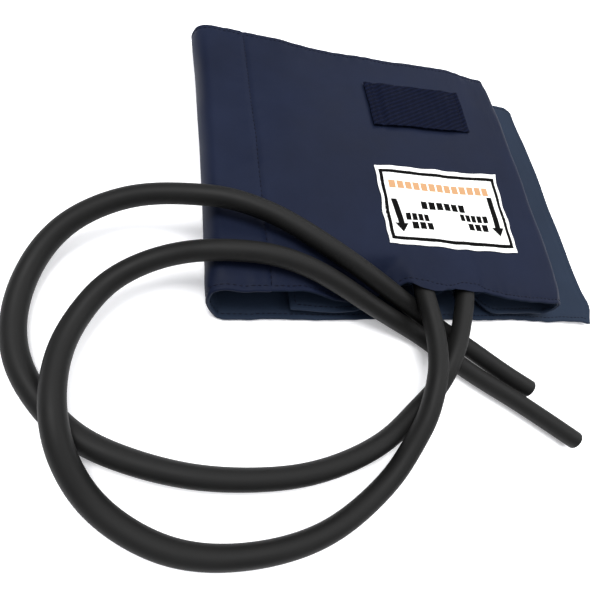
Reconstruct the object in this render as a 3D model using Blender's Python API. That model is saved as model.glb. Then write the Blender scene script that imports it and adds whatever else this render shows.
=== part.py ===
"""Blood pressure cuff, folded flat as it is stored: a long nylon strip with a rubber bladder in one
end, two rubber tubes, a gauge tape, a label and a hook-and-loop closure.

The strip is folded twice. Its tail lies at the bottom, the left fold carries it up and over into
the bladder section on top, and the right fold turns its other end back under as the inner flap.
Lengths are worked out in millimetres from the front left corner of the tail, and at() turns them
into metres about the part's origin, the middle of the footprint at the surface it lies on."""

import math

import bmesh
import bpy
import numpy as np
from mathutils import Vector

# Driving dimensions, in millimetres
STRIP_WIDTH = 145.0
TAIL_LENGTH = 195.0
LEFT_BULGE = 8.0
CLOSURE_LENGTH = 29.0
CLOSURE_CORNER = 18.0
SECTION_END = 150.0
RIGHT_FOLD_REACH = 163.0
FLAP_START = 28.0
FLAP_END = 157.4
TUBE_RADIUS = 4.0
CLOTH = 0.6
GAP = 0.3
BLADDER_THICKNESS = 3.0
BLADDER_START = 20.0
BLADDER_FRONT = 20.0
BLADDER_BACK = 132.0
POCKET_SEAM = 17.0
HEM_INSET = 2.5
NECK_GAP = 0.8

# Heights of the layers that lie flat
HOOK_BOTTOM = 1.8
HOOK_THICKNESS = 0.8
LOOP_BOTTOM = 2.9
LOOP_THICKNESS = 0.7
FLAP_BOTTOM = 3.9
FLAP_BLADDER_THICKNESS = 2.0
FRONT_HEIGHT = 19.0
CROWN_RISE = 1.0
LEFT_FALL = 2.0
RIGHT_RISE = 1.5
CROWN_LINE = 70.0

# Height of the bladder section's back edge: distance from the left fold, and height
BACK_EDGE = [(0, 13.5), (36, 14.5), (63, 15.8), (92, 16.8), (114, 17.5), (131, 19.0), (150, 19.8)]

# The front edge of the bladder section: distance from the left fold, and how far it is drawn back
FRONT_EDGE = [(0, 1.5), (35, 2.0), (46, 2.5), (56, 4.5), (66, 8.0), (74, 11.0), (84, 10.0),
              (95, 8.5), (105, 8.5), (115, 6.5), (127, 3.5), (160, 1.5)]

# Routes of the two tubes from the bladder to their free ends, in millimetres
TUBE_ROUTES = {
    "gauge_tube": [
        (84.2, 12.0, 16.7), (84.2, 8.2, 16.8), (84.4, -5.4, 17.4), (84.0, -16.9, 17.3), (82.0, -27.0, 16.9),
        (78.9, -35.3, 15.8), (74.8, -44.1, 13.4), (69.7, -51.7, 10.3), (62.7, -60.3, 6.8), (54.2, -67.4, 4.6),
        (39.2, -75.5, 4.2), (22.0, -80.3, 4.2), (0.4, -80.8, 4.2), (-19.5, -76.1, 4.2), (-35.4, -66.2, 5.0),
        (-44.6, -56.1, 7.5), (-50.2, -45.0, 11.2), (-52.5, -35.7, 12.9), (-53.3, -26.0, 12.3),
        (-51.9, -13.1, 10.5), (-46.8, -0.9, 10.0), (-38.2, 9.5, 12.0), (-25.8, 16.0, 15.5), (-15.7, 18.1, 18.6),
        (-7.3, 18.1, 21.6), (1.3, 17.7, 23.4), (10.3, 17.2, 24.0), (19.7, 15.8, 24.0), (29.7, 13.0, 23.2),
        (40.0, 9.6, 20.6), (51.8, 5.4, 16.0), (65.4, 0.6, 10.2), (78.9, -5.0, 5.6), (88.3, -11.0, 4.2),
        (106.6, -24.5, 4.2), (123.2, -35.7, 4.2), (138.9, -46.5, 4.2), (154.5, -57.8, 4.2)],
    "bulb_tube": [
        (106.5, 12.0, 15.7), (106.0, 7.3, 15.6), (101.6, -5.1, 14.8), (96.8, -15.5, 13.8), (91.5, -24.3, 12.0),
        (85.5, -32.3, 8.6), (76.3, -39.9, 5.2), (63.2, -48.8, 4.2), (44.5, -56.0, 4.2), (24.7, -59.2, 4.2),
        (3.6, -58.4, 4.2), (-15.8, -54.7, 4.2), (-35.4, -47.3, 4.2), (-48.0, -39.6, 4.2), (-57.1, -29.8, 4.2),
        (-64.2, -17.8, 4.2), (-67.3, -4.7, 4.2), (-66.0, 10.3, 5.0), (-60.0, 24.6, 7.5), (-50.1, 34.4, 11.5),
        (-36.0, 40.4, 16.0), (-22.4, 41.6, 20.0), (-6.7, 40.5, 23.2), (2.3, 39.0, 24.5), (11.5, 36.3, 25.0),
        (21.0, 32.4, 25.0), (30.4, 27.0, 25.0), (40.1, 20.9, 24.5), (50.8, 15.1, 22.4), (63.2, 9.6, 18.0),
        (76.8, 4.6, 11.6), (89.3, -0.1, 6.6), (98.5, -5.4, 4.3), (108.8, -13.3, 4.2), (124.2, -25.0, 4.2),
        (137.5, -34.0, 4.2)],
}
TUBE_STATIONS = 54
RUN_OVER_CUFF = {"gauge_tube": (24, 33), "bulb_tube": (21, 32)}

# Labels, tapes and strips as rectangles: left, right, front, back
LABEL = (70.0, 140.0, 27.0, 70.0)
GAUGE_TAPE = (76.0, 133.0, 95.0, 123.0)
TAPE_SEWN_END = 6.0
TAPE_THICKNESS = 1.2
HOOK_STRIP = (40.0, 96.0, 22.0, 128.0)
LOOP_PANEL = (38.0, 98.0, 20.0, 130.0)

# The lattice that the bladder section's layers share: columns across, and rows front to back. Rows
# below 1 are shares of the way from the front edge to the first straight row
SECTION_COLUMNS = [0.3, 10, 20, 30, 38, 44, 49, 54, 59, 64, 68, 71, 74, 77, 80, 84, 88, 92, 97, 102, 106,
                   110, 114, 120, 128, 139, 148, SECTION_END]
FIRST_STRAIGHT_ROW = 14.0
SECTION_ROWS = [0, 0.25, 0.5, 0.75, FIRST_STRAIGHT_ROW, 17, 20, 23, 26.5, 34, 50, 75, 90, 105, 120, 132,
                STRIP_WIDTH - 1.5]


def at(x, y, z):
    """A place measured from the tail's front left corner, as a point in metres about the origin."""
    return Vector((x - (TAIL_LENGTH - LEFT_BULGE) / 2, y - STRIP_WIDTH / 2, z)) / 1000


def ease(value, start, end):
    """0 before start, 1 after end and smooth between."""
    share = min(max((value - start) / (end - start), 0.0), 1.0)
    return share * share * (3 - 2 * share)


def smooth_route(points, stations):
    """Evenly spaced points on a natural cubic through the route's own points."""
    points = np.array(points, float)
    knots = np.r_[0, np.cumsum(np.sqrt(np.linalg.norm(np.diff(points, axis=0), axis=1)))]
    steps = np.diff(knots)
    size = len(points)
    matrix, right = np.eye(size), np.zeros((size, 3))
    for i in range(1, size - 1):
        matrix[i, i - 1:i + 2] = steps[i - 1], 2 * (steps[i - 1] + steps[i]), steps[i]
        right[i] = 6 * ((points[i + 1] - points[i]) / steps[i] - (points[i] - points[i - 1]) / steps[i - 1])
    bend = np.linalg.solve(matrix, right)
    fine = []
    for i in range(size - 1):
        for t in np.linspace(0, steps[i], 12, endpoint=False):
            slope = (points[i + 1] - points[i]) / steps[i] - steps[i] * (2 * bend[i] + bend[i + 1]) / 6
            curl = (bend[i + 1] - bend[i]) / (6 * steps[i])
            fine.append(curl * t ** 3 + bend[i] / 2 * t ** 2 + slope * t + points[i])
    fine = np.array(fine + [points[-1]])
    run = np.r_[0, np.cumsum(np.linalg.norm(np.diff(fine, axis=0), axis=1))]
    wanted = np.linspace(0, run[-1], stations)
    return np.stack([np.interp(wanted, run, fine[:, k]) for k in range(3)], axis=1)


def runs_over_cuff():
    """The stretches of both tubes that lie on top of the cuff and press it down."""
    stretches = []
    for name, (first, last) in RUN_OVER_CUFF.items():
        stretches.append(smooth_route(TUBE_ROUTES[name][first:last], 30))
    return np.concatenate(stretches)


PRESSING = runs_over_cuff()


def front_edge(x):
    """How far back the bladder section's front edge lies at x."""
    return float(np.interp(x, [p[0] for p in FRONT_EDGE], [p[1] for p in FRONT_EDGE]))


def lines_within(lines, low, high):
    """The lattice lines between two limits, with the limits themselves."""
    return [low] + [line for line in lines if low < line < high] + [high]


def cover_top(x, y):
    """Height of the bladder section's upper face: it crowns in the middle and to the right, falls to
    the back edge, is pressed down under the tubes and bulges over the two outlets."""
    inward = ease(x, 0, 40)
    height = FRONT_HEIGHT + CROWN_RISE * inward * ease(y, 5, 30) - LEFT_FALL * (1 - inward) * ease(y, 0, 60)
    height += RIGHT_RISE * ease(x, 105, SECTION_END) * ease(y, 35, CROWN_LINE)
    back = float(np.interp(x, [p[0] for p in BACK_EDGE], [p[1] for p in BACK_EDGE]))
    fall = min(max((y - CROWN_LINE) / (STRIP_WIDTH - 1.5 - CROWN_LINE), 0.0), 1.0) ** 1.6
    height += (back - height) * fall
    away = (PRESSING[:, 0] - x) ** 2 + (PRESSING[:, 1] - y) ** 2
    pressed = float(np.min(PRESSING[:, 2] - TUBE_RADIUS - 0.7 + away / 22))
    height = min(height, pressed)
    for outlet in TUBE_ROUTES.values():
        reach = 1.0 - ease(y, BLADDER_FRONT + 0.5, LABEL[2] - 0.5)
        aside = max(abs(x - outlet[0][0]) - 3.5, 0.0)
        bulge = outlet[1][2] + TUBE_RADIUS + CLOTH + 2 * GAP - aside ** 2 / 5
        height = max(height, height + (bulge - height) * reach)
    return height


def lining_top(x, y):
    """Height of the pocket lining's upper face, under the bladder and under the outlets."""
    under_bladder = BLADDER_THICKNESS + GAP
    height = cover_top(x, y) - CLOTH - GAP - under_bladder * ease(y, 10, 19)
    for outlet in TUBE_ROUTES.values():
        aside = max(abs(x - outlet[0][0]) - 3.5, 0.0)
        sag = outlet[1][2] - TUBE_RADIUS - 2 * GAP + aside ** 2 / 6
        if y < BLADDER_FRONT + 2:
            height = min(height, sag)
    return height


def material(name, colour, roughness, metallic=0.0):
    """A Principled material, made once for each finish."""
    made = bpy.data.materials.get(name)
    if made is None:
        made = bpy.data.materials.new(name)
        made.use_nodes = True
        shader = made.node_tree.nodes["Principled BSDF"]
        shader.inputs["Base Color"].default_value = (*colour, 1)
        shader.inputs["Roughness"].default_value = roughness
        shader.inputs["Metallic"].default_value = metallic
    return made


def nylon():
    return material("navy_nylon", (0.020, 0.023, 0.047), 0.55)


def lining_cloth():
    return material("navy_lining", (0.018, 0.026, 0.046), 0.6)


def thread():
    return material("navy_thread", (0.012, 0.014, 0.030), 0.7)


def black_rubber():
    return material("tube_rubber", (0.014, 0.014, 0.015), 0.5)


def bladder_rubber():
    return material("bladder_rubber", (0.030, 0.028, 0.027), 0.6)


def finish(name, mesh, finish_material, smooth=False):
    """Puts a mesh in the scene as one named piece."""
    mesh.materials.append(finish_material)
    piece = bpy.data.objects.new(name, mesh)
    bpy.context.scene.collection.objects.link(piece)
    if smooth:
        mesh.shade_smooth()
        mesh.set_sharp_from_angle(angle=math.radians(40))
    return piece


def slab(name, finish_material, columns, rows, lower, upper, smooth=True):
    """One closed body between two surfaces. lower(u, v) and upper(u, v) give places in millimetres."""
    shape = bmesh.new()
    faces = []
    for surface in (lower, upper):
        grid = [[shape.verts.new(at(*surface(u, v))) for v in rows] for u in columns]
        faces.append(grid)
    for grid in faces:
        for i in range(len(columns) - 1):
            for j in range(len(rows) - 1):
                shape.faces.new((grid[i][j], grid[i + 1][j], grid[i + 1][j + 1], grid[i][j + 1]))
    rim = [(i, 0) for i in range(len(columns))]
    rim += [(len(columns) - 1, j) for j in range(1, len(rows))]
    rim += [(i, len(rows) - 1) for i in range(len(columns) - 2, -1, -1)]
    rim += [(0, j) for j in range(len(rows) - 2, 0, -1)]
    for (a, b), (c, d) in zip(rim, rim[1:] + rim[:1]):
        shape.faces.new((faces[0][a][b], faces[0][c][d], faces[1][c][d], faces[1][a][b]))
    bmesh.ops.recalc_face_normals(shape, faces=shape.faces)
    mesh = bpy.data.meshes.new(name)
    shape.to_mesh(mesh)
    shape.free()
    return finish(name, mesh, finish_material, smooth)


def sheet(name, finish_material, columns, rows, place, bottom, thickness):
    """A cloth sheet: place(u, v) gives its x and y, bottom(x, y) its underside."""
    def lower(u, v):
        x, y = place(u, v)
        return x, y, bottom(x, y)

    def upper(u, v):
        x, y = place(u, v)
        return x, y, bottom(x, y) + thickness

    return slab(name, finish_material, columns, rows, lower, upper)


def rectangle(name, finish_material, box, bottom, thickness, columns=2, rows=2):
    """A flat or gently curved rectangle that lies on what is under it."""
    left, right, front, back = box
    return sheet(name, finish_material, np.linspace(left, right, columns), np.linspace(front, back, rows),
                 lambda x, y: (x, y), bottom, thickness)


def hem_loop(name, left, right, front, back, bottom, open_left):
    """The row of sewing thread inside a hem, as one thin band along three edges."""
    inner, width = HEM_INSET, 0.8
    corner = [(left, front + inner), (right - inner, front + inner), (right - inner, back - inner),
              (left, back - inner)]
    inside = [(left, front + inner + width), (right - inner - width, front + inner + width),
              (right - inner - width, back - inner - width), (left, back - inner - width)]
    if not open_left:
        corner = [(left + right - x, y) for x, y in corner]
        inside = [(left + right - x, y) for x, y in inside]
    return slab_between(name, corner, inside, bottom, GAP)


def slab_between(name, outer, inner, bottom, thickness):
    """A thin band between two outlines that run side by side."""
    lines = (outer, inner)
    return slab(name, thread(), range(len(outer)), (0, 1),
                lambda u, v: (*lines[v][u], bottom), lambda u, v: (*lines[v][u], bottom + thickness),
                smooth=False)


def tail():
    """The bottom layer: outer cover, lining and the hook strip sewn on the lining."""
    end = TAIL_LENGTH - CLOSURE_LENGTH
    box = (GAP, end - GAP, 0.0, STRIP_WIDTH)
    rectangle("tail_cover", nylon(), box, lambda x, y: 0.0, CLOTH)
    rectangle("tail_lining", lining_cloth(), box, lambda x, y: CLOTH + GAP, CLOTH)
    rectangle("hook_strip", material("hook_tape", (0.016, 0.017, 0.028), 0.8), HOOK_STRIP,
              lambda x, y: HOOK_BOTTOM, HOOK_THICKNESS)
    hem_loop("tail_hem_thread", 4.0, end - 1.0, 0.0, STRIP_WIDTH, 2 * CLOTH + 2 * GAP, True)


def closure_end():
    """The free end of the tail, with one rounded corner, which is gripped to undo the closure."""
    start = TAIL_LENGTH - CLOSURE_LENGTH + GAP
    turn = np.linspace(0, math.pi / 2, 9)
    columns = [start, start + 5] + [TAIL_LENGTH - CLOSURE_CORNER * (1 - math.sin(a)) for a in turn]
    backs = [STRIP_WIDTH] * 2 + [STRIP_WIDTH - CLOSURE_CORNER * (1 - math.cos(a)) for a in turn]
    place = {x: back for x, back in zip(columns, backs)}
    for name, cloth, bottom in (("closure_end_cover", nylon(), 0.0),
                                ("closure_end_lining", lining_cloth(), CLOTH + GAP)):
        sheet(name, cloth, columns, (0, 0.5, 1), lambda x, v: (x, place[x] * v),
              lambda x, y, low=bottom: low, CLOTH)
    hem_loop("closure_end_hem_thread", start + 1, TAIL_LENGTH, 0.0, STRIP_WIDTH - 3.5,
             2 * CLOTH + 2 * GAP, True)


def left_fold():
    """The fold that carries the strip from the tail up to the bladder section."""
    turn = np.linspace(-math.pi / 2, math.pi / 2, 13)
    rows = np.linspace(0, 1, 5)

    def curve(inset):
        def point(a, v):
            y = 1.5 * ease(a, -1.4, 1.4) + v * (STRIP_WIDTH - 3.0 * ease(a, -1.4, 1.4))
            half = cover_top(GAP, 1.5 + v * (STRIP_WIDTH - 3)) / 2
            reach = LEFT_BULGE - 1.4 * v - GAP
            return -GAP - (reach - inset) * math.cos(a), y, half + (half - inset) * math.sin(a)
        return point

    slab("left_fold_cover", nylon(), turn, rows, curve(0.0), curve(CLOTH))
    slab("left_fold_lining", lining_cloth(), turn, rows, curve(CLOTH + GAP), curve(2 * CLOTH + GAP))


def section_place(x, v):
    front = front_edge(x)
    return x, (front + v * (FIRST_STRAIGHT_ROW - front) if v < 1 else v)


def section_patch(name, finish_material, box, bottom, thickness):
    """A rectangle on the section's shared lattice."""
    left, right, front, back = box
    return sheet(name, finish_material, lines_within(SECTION_COLUMNS, left, right),
                 lines_within(SECTION_ROWS, front, back), lambda x, y: (x, y), bottom, thickness)


def bladder_pocket():
    """The pocket's cover and lining, the bladder between them, and the bladder's two necks."""
    sheet("pocket_cover", nylon(), SECTION_COLUMNS, SECTION_ROWS, section_place,
          lambda x, y: cover_top(x, y) - CLOTH, CLOTH)
    sheet("pocket_lining", lining_cloth(), SECTION_COLUMNS, SECTION_ROWS, section_place,
          lambda x, y: lining_top(x, y) - CLOTH, CLOTH)
    section_patch("bladder", bladder_rubber(), (BLADDER_START, SECTION_END - 2, BLADDER_FRONT, BLADDER_BACK),
                  lambda x, y: cover_top(x, y) - CLOTH - GAP - BLADDER_THICKNESS, BLADDER_THICKNESS)
    for number, outlet in enumerate(TUBE_ROUTES.values(), start=1):
        x, y, z = outlet[0]
        length = BLADDER_FRONT - y - GAP - NECK_GAP
        bpy.ops.mesh.primitive_cylinder_add(vertices=16, radius=TUBE_RADIUS / 1000, depth=length / 1000,
                                            location=at(x, y + NECK_GAP + length / 2, z),
                                            rotation=(math.pi / 2, 0, 0))
        neck = bpy.context.object
        neck.name = f"bladder_neck_{number}"
        neck.data.materials.append(bladder_rubber())


def right_fold():
    """The rolled fold at the right, open on its inner side, from the section down to the flap."""
    rows = np.linspace(0, 1, 7)
    shape = [(0.0, 1.0), (0.35, 1.0), (0.62, 0.93), (0.84, 0.74), (0.97, 0.48), (1.0, 0.26), (0.92, 0.1),
             (0.76, 0.02), (0.6, 0.0)]

    def curve(inset):
        def point(k, v):
            along, up = shape[k]
            y = 1.5 + v * (STRIP_WIDTH - 3)
            top = cover_top(SECTION_END, y)
            middle = (top + FLAP_BOTTOM) / 2
            x = SECTION_END + GAP + along * (RIGHT_FOLD_REACH - SECTION_END - GAP)
            z = FLAP_BOTTOM + up * (top - FLAP_BOTTOM)
            shrink = 1 - inset / (middle - FLAP_BOTTOM)
            x -= inset * ease(along, 0.3, 1.0) * math.sin(math.pi * min(max(up, 0.02), 0.98)) ** 0.5
            return x, y, middle + (z - middle) * shrink
        return point

    slab("right_fold_cover", nylon(), range(len(shape)), rows, curve(0.0), curve(CLOTH))
    slab("right_fold_lining", lining_cloth(), range(len(shape)), rows, curve(CLOTH + GAP),
         curve(2 * CLOTH + GAP))


def neighbours(lines, value):
    """The lattice lines on both sides of a value, and the share of the way between them."""
    after = min(max(int(np.searchsorted(lines, value)), 1), len(lines) - 1)
    low, high = lines[after - 1], lines[after]
    return low, high, (value - low) / (high - low)


def on_cover(x, y):
    """Just above the cover's own facets, for what is sewn on it."""
    if y < FIRST_STRAIGHT_ROW:
        return cover_top(x, y) + GAP
    left, right, across = neighbours(SECTION_COLUMNS, x)
    front, back, along = neighbours(SECTION_ROWS, y)
    near = cover_top(left, front) * (1 - across) + cover_top(right, front) * across
    far = cover_top(left, back) * (1 - across) + cover_top(right, back) * across
    return near * (1 - along) + far * along + 1.5 * GAP


def gauge_tape():
    """The twill tape under which a gauge's hook slides: two layers thick between its sewn ends, and
    one layer where the tacks hold it down."""
    left, right, front, back = GAUGE_TAPE
    ends = (left + TAPE_SEWN_END, right - TAPE_SEWN_END)
    thin, thick = TAPE_THICKNESS - 2 * GAP, TAPE_THICKNESS
    columns = sorted(lines_within(SECTION_COLUMNS, left, right) + [x + d for x in ends for d in (0, 0.01)])

    def upper(x, y):
        single = x <= ends[0] or x > ends[1]
        return x, y, on_cover(x, y) + (thin if single else thick)

    slab("gauge_tape", material("navy_webbing", (0.012, 0.016, 0.035), 0.75), columns,
         lines_within(SECTION_ROWS, front, back), lambda x, y: (x, y, on_cover(x, y)), upper)
    for name, x in (("gauge_tape_tack_left", left + TAPE_SEWN_END / 2),
                    ("gauge_tape_tack_right", right - TAPE_SEWN_END / 2)):
        section_patch(name, thread(), (x - 1, x + 1, front + 3, back - 3),
                      lambda x, y: on_cover(x, y) + thin + GAP, GAP)


def section_trim():
    """What is sewn on the bladder section: label, gauge tape with its tacks, and the seams."""
    section_patch("label", material("label_cloth", (0.93, 0.93, 0.92), 0.6), LABEL, on_cover, GAP)
    gauge_tape()
    seam = (POCKET_SEAM - 0.4, POCKET_SEAM + 0.4)
    sheet("pocket_seam_thread", thread(), seam, SECTION_ROWS[2:-1], section_place, on_cover, GAP)
    back_hem = STRIP_WIDTH - 1.5 - HEM_INSET
    for name, rows in (("front_hem_thread", (0.25, 0.32)), ("back_hem_thread", (back_hem, back_hem + 0.8))):
        sheet(name, thread(), SECTION_COLUMNS[1:-1], rows, section_place, on_cover, GAP)


def flap_front(x):
    """The inner flap's front edge, drawn back where the tubes pass."""
    return 2.0 + 13.0 * ease(x, 40, 54) * (1 - ease(x, 112, 130))


def inner_flap():
    """The other end of the strip, turned back under: cover, loop panel, bladder end and lining."""
    columns = [FLAP_START, 40, 44, 47, 50, 54, 80, 112, 117, 121, 125, 130, FLAP_END]

    def place(x, v):
        front = flap_front(x)
        return x, front + v * (STRIP_WIDTH - 2 - front)

    rectangle("loop_panel", material("loop_pile", (0.020, 0.022, 0.038), 0.9), LOOP_PANEL,
              lambda x, y: LOOP_BOTTOM, LOOP_THICKNESS)
    sheet("inner_flap_cover", nylon(), columns, (0, 0.5, 1), place, lambda x, y: FLAP_BOTTOM, CLOTH)
    bladder_bottom = FLAP_BOTTOM + CLOTH + GAP
    lining_bottom = bladder_bottom + FLAP_BLADDER_THICKNESS + GAP
    rectangle("bladder_folded_end", bladder_rubber(), (74.0, FLAP_END - 3, BLADDER_FRONT, BLADDER_BACK),
              lambda x, y: bladder_bottom, FLAP_BLADDER_THICKNESS)
    sheet("inner_flap_lining", lining_cloth(), columns, (0, 0.5, 1), place, lambda x, y: lining_bottom, CLOTH)
    seam = (FLAP_START + 3.0, FLAP_START + 3.8, 5.0, STRIP_WIDTH - 5)
    rectangle("inner_flap_hem_thread", thread(), seam, lambda x, y: lining_bottom + CLOTH + GAP, GAP)


def tubes():
    """The two rubber tubes, from the bladder's necks to their bare ends."""
    for name, route in TUBE_ROUTES.items():
        line = bpy.data.curves.new(name, "CURVE")
        line.dimensions = "3D"
        line.bevel_depth = TUBE_RADIUS / 1000
        line.bevel_resolution = 2
        line.use_fill_caps = True
        spline = line.splines.new("POLY")
        stations = smooth_route(route, TUBE_STATIONS)
        spline.points.add(len(stations) - 1)
        for point, station in zip(spline.points, stations):
            point.co = (*at(*station), 1)
        line.materials.append(black_rubber())
        tube = bpy.data.objects.new(name, line)
        bpy.context.scene.collection.objects.link(tube)


def axis_empty(name, x, z, members):
    """An empty on a fold's axis that carries the pieces which turn about it."""
    empty = bpy.data.objects.new(name, None)
    bpy.context.scene.collection.objects.link(empty)
    empty.location = at(x, STRIP_WIDTH / 2, z)
    bpy.context.view_layer.update()
    for member in members:
        member.parent = empty
        member.matrix_parent_inverse = empty.matrix_world.inverted()
    return empty


def pieces_made_by(*makers):
    before = set(bpy.data.objects)
    for maker in makers:
        maker()
    return [o for o in bpy.data.objects if o not in before]


def main():
    for old in list(bpy.data.objects):
        bpy.data.objects.remove(old)
    tail()
    axis_empty("closure_end_axis", TAIL_LENGTH - CLOSURE_LENGTH, 2 * CLOTH + GAP,
               pieces_made_by(closure_end))
    section = axis_empty("left_fold_axis", 0.0, 0.0,
                         pieces_made_by(left_fold, bladder_pocket, right_fold, section_trim, tubes))
    flap = axis_empty("right_fold_axis", FLAP_END + GAP, FLAP_BOTTOM, pieces_made_by(inner_flap))
    flap.parent = section
    flap.matrix_parent_inverse = section.matrix_world.inverted()


main()
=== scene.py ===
import math

import bpy
import numpy as np
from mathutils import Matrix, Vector, noise


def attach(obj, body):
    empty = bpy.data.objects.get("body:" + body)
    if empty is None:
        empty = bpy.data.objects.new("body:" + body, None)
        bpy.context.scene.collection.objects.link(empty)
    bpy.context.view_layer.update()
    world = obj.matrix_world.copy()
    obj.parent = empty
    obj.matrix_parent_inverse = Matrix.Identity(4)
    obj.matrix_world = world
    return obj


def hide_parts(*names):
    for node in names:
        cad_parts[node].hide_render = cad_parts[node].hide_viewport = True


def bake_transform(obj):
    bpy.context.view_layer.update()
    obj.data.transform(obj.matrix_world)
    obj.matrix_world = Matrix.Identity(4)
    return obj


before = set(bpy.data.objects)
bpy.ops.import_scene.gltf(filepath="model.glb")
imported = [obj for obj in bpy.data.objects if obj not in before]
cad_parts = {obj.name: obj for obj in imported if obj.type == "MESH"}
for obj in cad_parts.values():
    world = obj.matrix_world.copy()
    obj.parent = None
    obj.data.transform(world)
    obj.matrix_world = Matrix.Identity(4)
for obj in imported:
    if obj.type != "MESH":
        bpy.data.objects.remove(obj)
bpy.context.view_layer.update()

# Pieces and places are in millimetres, from the tail's front corner at the left fold, at floor level.
# The camera, the lamps and what the shaders measure are in metres.
strip = dict(width=145.0, tail=195.0, leftRun=27.5, topRun=150.0, rightRun=36.0, rightReach=163.0,
             flapRoot=157.9, flapFreeEnd=28.0, flapBottom=3.9, panelThick=1.5, pocketThick=4.8,
             flapThick=3.8, pocketSeam=17.0, hemInset=2.5, closureCorner=6.5, backInset=1.5, flapInset=0.5)
leftReachW = [0, 0.1, 0.35, 0.55, 0.8, 1.0]
leftReachX = [6.4, 5.8, 5.2, 5.3, 5.8, 6.7]
backEdgeX = [0, 36, 63, 92, 114, 131, 150]
backEdgeZ = [15.2, 16.0, 15.6, 17.0, 18.4, 20.2, 18.6]
topStart = strip["tail"] + strip["leftRun"]          # how far along the strip the top layer begins
rightStart = topStart + strip["topRun"]
flapBegin = rightStart + strip["rightRun"]
flapEnd = flapBegin + strip["flapRoot"] - strip["flapFreeEnd"]
frontEdgeX = [0, 35, 46, 56, 66, 74, 84, 95, 105, 115, 127, 160]
frontEdgeY = [1.5, 2.0, 2.5, 4.5, 8.0, 11.0, 10.0, 8.5, 8.5, 6.5, 3.5, 1.5]
tubeRadius = 4.0

tubeRoutes = {
    "gaugeTube": [
        (84.2, 12.0, 16.7), (84.2, 8.2, 16.8), (84.4, -5.4, 17.4), (84.0, -16.9, 17.3),
        (82.0, -27.0, 16.9), (78.9, -35.3, 15.8), (74.8, -44.1, 13.4), (69.7, -51.7, 10.3),
        (62.7, -60.3, 6.8), (54.2, -67.4, 4.6), (39.2, -75.5, 4.2), (22.0, -80.3, 4.2),
        (0.4, -80.8, 4.2), (-19.5, -76.1, 4.2), (-35.4, -66.2, 5.0), (-44.6, -56.1, 7.5),
        (-50.2, -45.0, 11.2), (-52.5, -35.7, 12.9), (-53.3, -26.0, 12.3), (-51.9, -13.1, 10.5),
        (-46.8, -0.9, 10.0), (-38.2, 9.5, 12.0), (-25.8, 16.0, 15.5), (-15.7, 18.1, 18.6),
        (-7.3, 18.1, 21.6), (1.3, 17.7, 23.4), (10.3, 17.2, 24.0), (19.7, 15.8, 24.0),
        (29.7, 13.0, 23.2), (40.0, 9.6, 20.6), (51.8, 5.4, 16.0), (65.4, 0.6, 10.2), (79.1, -4.7, 5.6),
        (88.8, -10.3, 4.2), (106.6, -24.5, 4.2), (123.2, -35.7, 4.2), (138.9, -46.5, 4.2),
        (154.5, -57.8, 4.2)],
    "bulbTube": [
        (106.5, 12.0, 15.7), (106.0, 7.3, 15.6), (101.6, -5.1, 14.8), (96.8, -15.5, 13.8),
        (91.5, -24.3, 12.0), (85.5, -32.3, 8.6), (76.3, -39.9, 5.2), (63.2, -48.8, 4.2),
        (44.5, -56.0, 4.2), (24.7, -59.2, 4.2), (3.6, -58.4, 4.2), (-15.8, -54.7, 4.2),
        (-35.4, -47.3, 4.2), (-48.0, -39.6, 4.2), (-57.1, -29.8, 4.2), (-64.2, -17.8, 4.2),
        (-67.3, -4.7, 4.2), (-66.0, 10.3, 5.0), (-60.0, 24.6, 7.5), (-50.1, 34.4, 11.5),
        (-36.0, 40.4, 16.0), (-22.4, 41.6, 20.0), (-6.7, 40.5, 23.2), (2.3, 39.0, 24.5),
        (11.5, 36.3, 25.0), (21.0, 32.4, 25.0), (30.4, 27.0, 25.0), (40.1, 20.9, 24.5),
        (50.8, 15.1, 22.4), (63.2, 9.6, 18.0), (76.8, 4.6, 11.6), (89.0, -0.6, 6.6), (98.2, -5.9, 4.3),
        (108.8, -13.3, 4.2), (124.2, -25.0, 4.2), (137.5, -34.0, 4.2)],
}
overCuff = {"gaugeTube": (24, 33), "bulbTube": (21, 32)}   # the route points that lie on the cuff
outletX, outletZ = zip(*((route[0][0], route[1][2]) for route in tubeRoutes.values()))
mergeGap = 0.000002                                   # metres, between points that are one


def toRow(points):
    return (np.asarray(points, float) - (93.5, 72.5, 0.0)) / 1000


def rowPoint(x, y, z):
    return Vector(toRow((x, y, z)))


def ease(value, start, end):
    share = np.clip((np.asarray(value, float) - start) / (end - start), 0, 1)
    return share * share * (3 - 2 * share)


def runOf(points):
    return np.r_[0, np.cumsum(np.linalg.norm(np.diff(points, axis=0), axis=1))]


def alongRun(wanted, run, points):
    return np.stack([np.interp(wanted, run, points[:, k]) for k in range(3)], axis=-1)


def smoothRoute(points, stations):
    # evenly spaced points on a natural cubic through the route's own points
    points = np.array(points, float)
    knots = np.r_[0, np.cumsum(np.sqrt(np.linalg.norm(np.diff(points, axis=0), axis=1)))]
    gaps = np.diff(knots)
    size = len(points)
    matrix, right = np.eye(size), np.zeros((size, 3))
    for i in range(1, size - 1):
        matrix[i, i - 1:i + 2] = gaps[i - 1], 2 * (gaps[i - 1] + gaps[i]), gaps[i]
        right[i] = 6 * ((points[i + 1] - points[i]) / gaps[i] - (points[i] - points[i - 1]) / gaps[i - 1])
    bend = np.linalg.solve(matrix, right)
    fine = []
    for i in range(size - 1):
        for t in np.linspace(0, gaps[i], 12, endpoint=False):
            slope = (points[i + 1] - points[i]) / gaps[i] - gaps[i] * (2 * bend[i] + bend[i + 1]) / 6
            curl = (bend[i + 1] - bend[i]) / (6 * gaps[i])
            fine.append(curl * t ** 3 + bend[i] / 2 * t ** 2 + slope * t + points[i])
    fine = np.array(fine + [points[-1]])
    run = runOf(fine)
    return alongRun(np.linspace(0, run[-1], stations), run, fine)


pressing = np.concatenate([smoothRoute(tubeRoutes[name][a:b], 40) for name, (a, b) in overCuff.items()])


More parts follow.
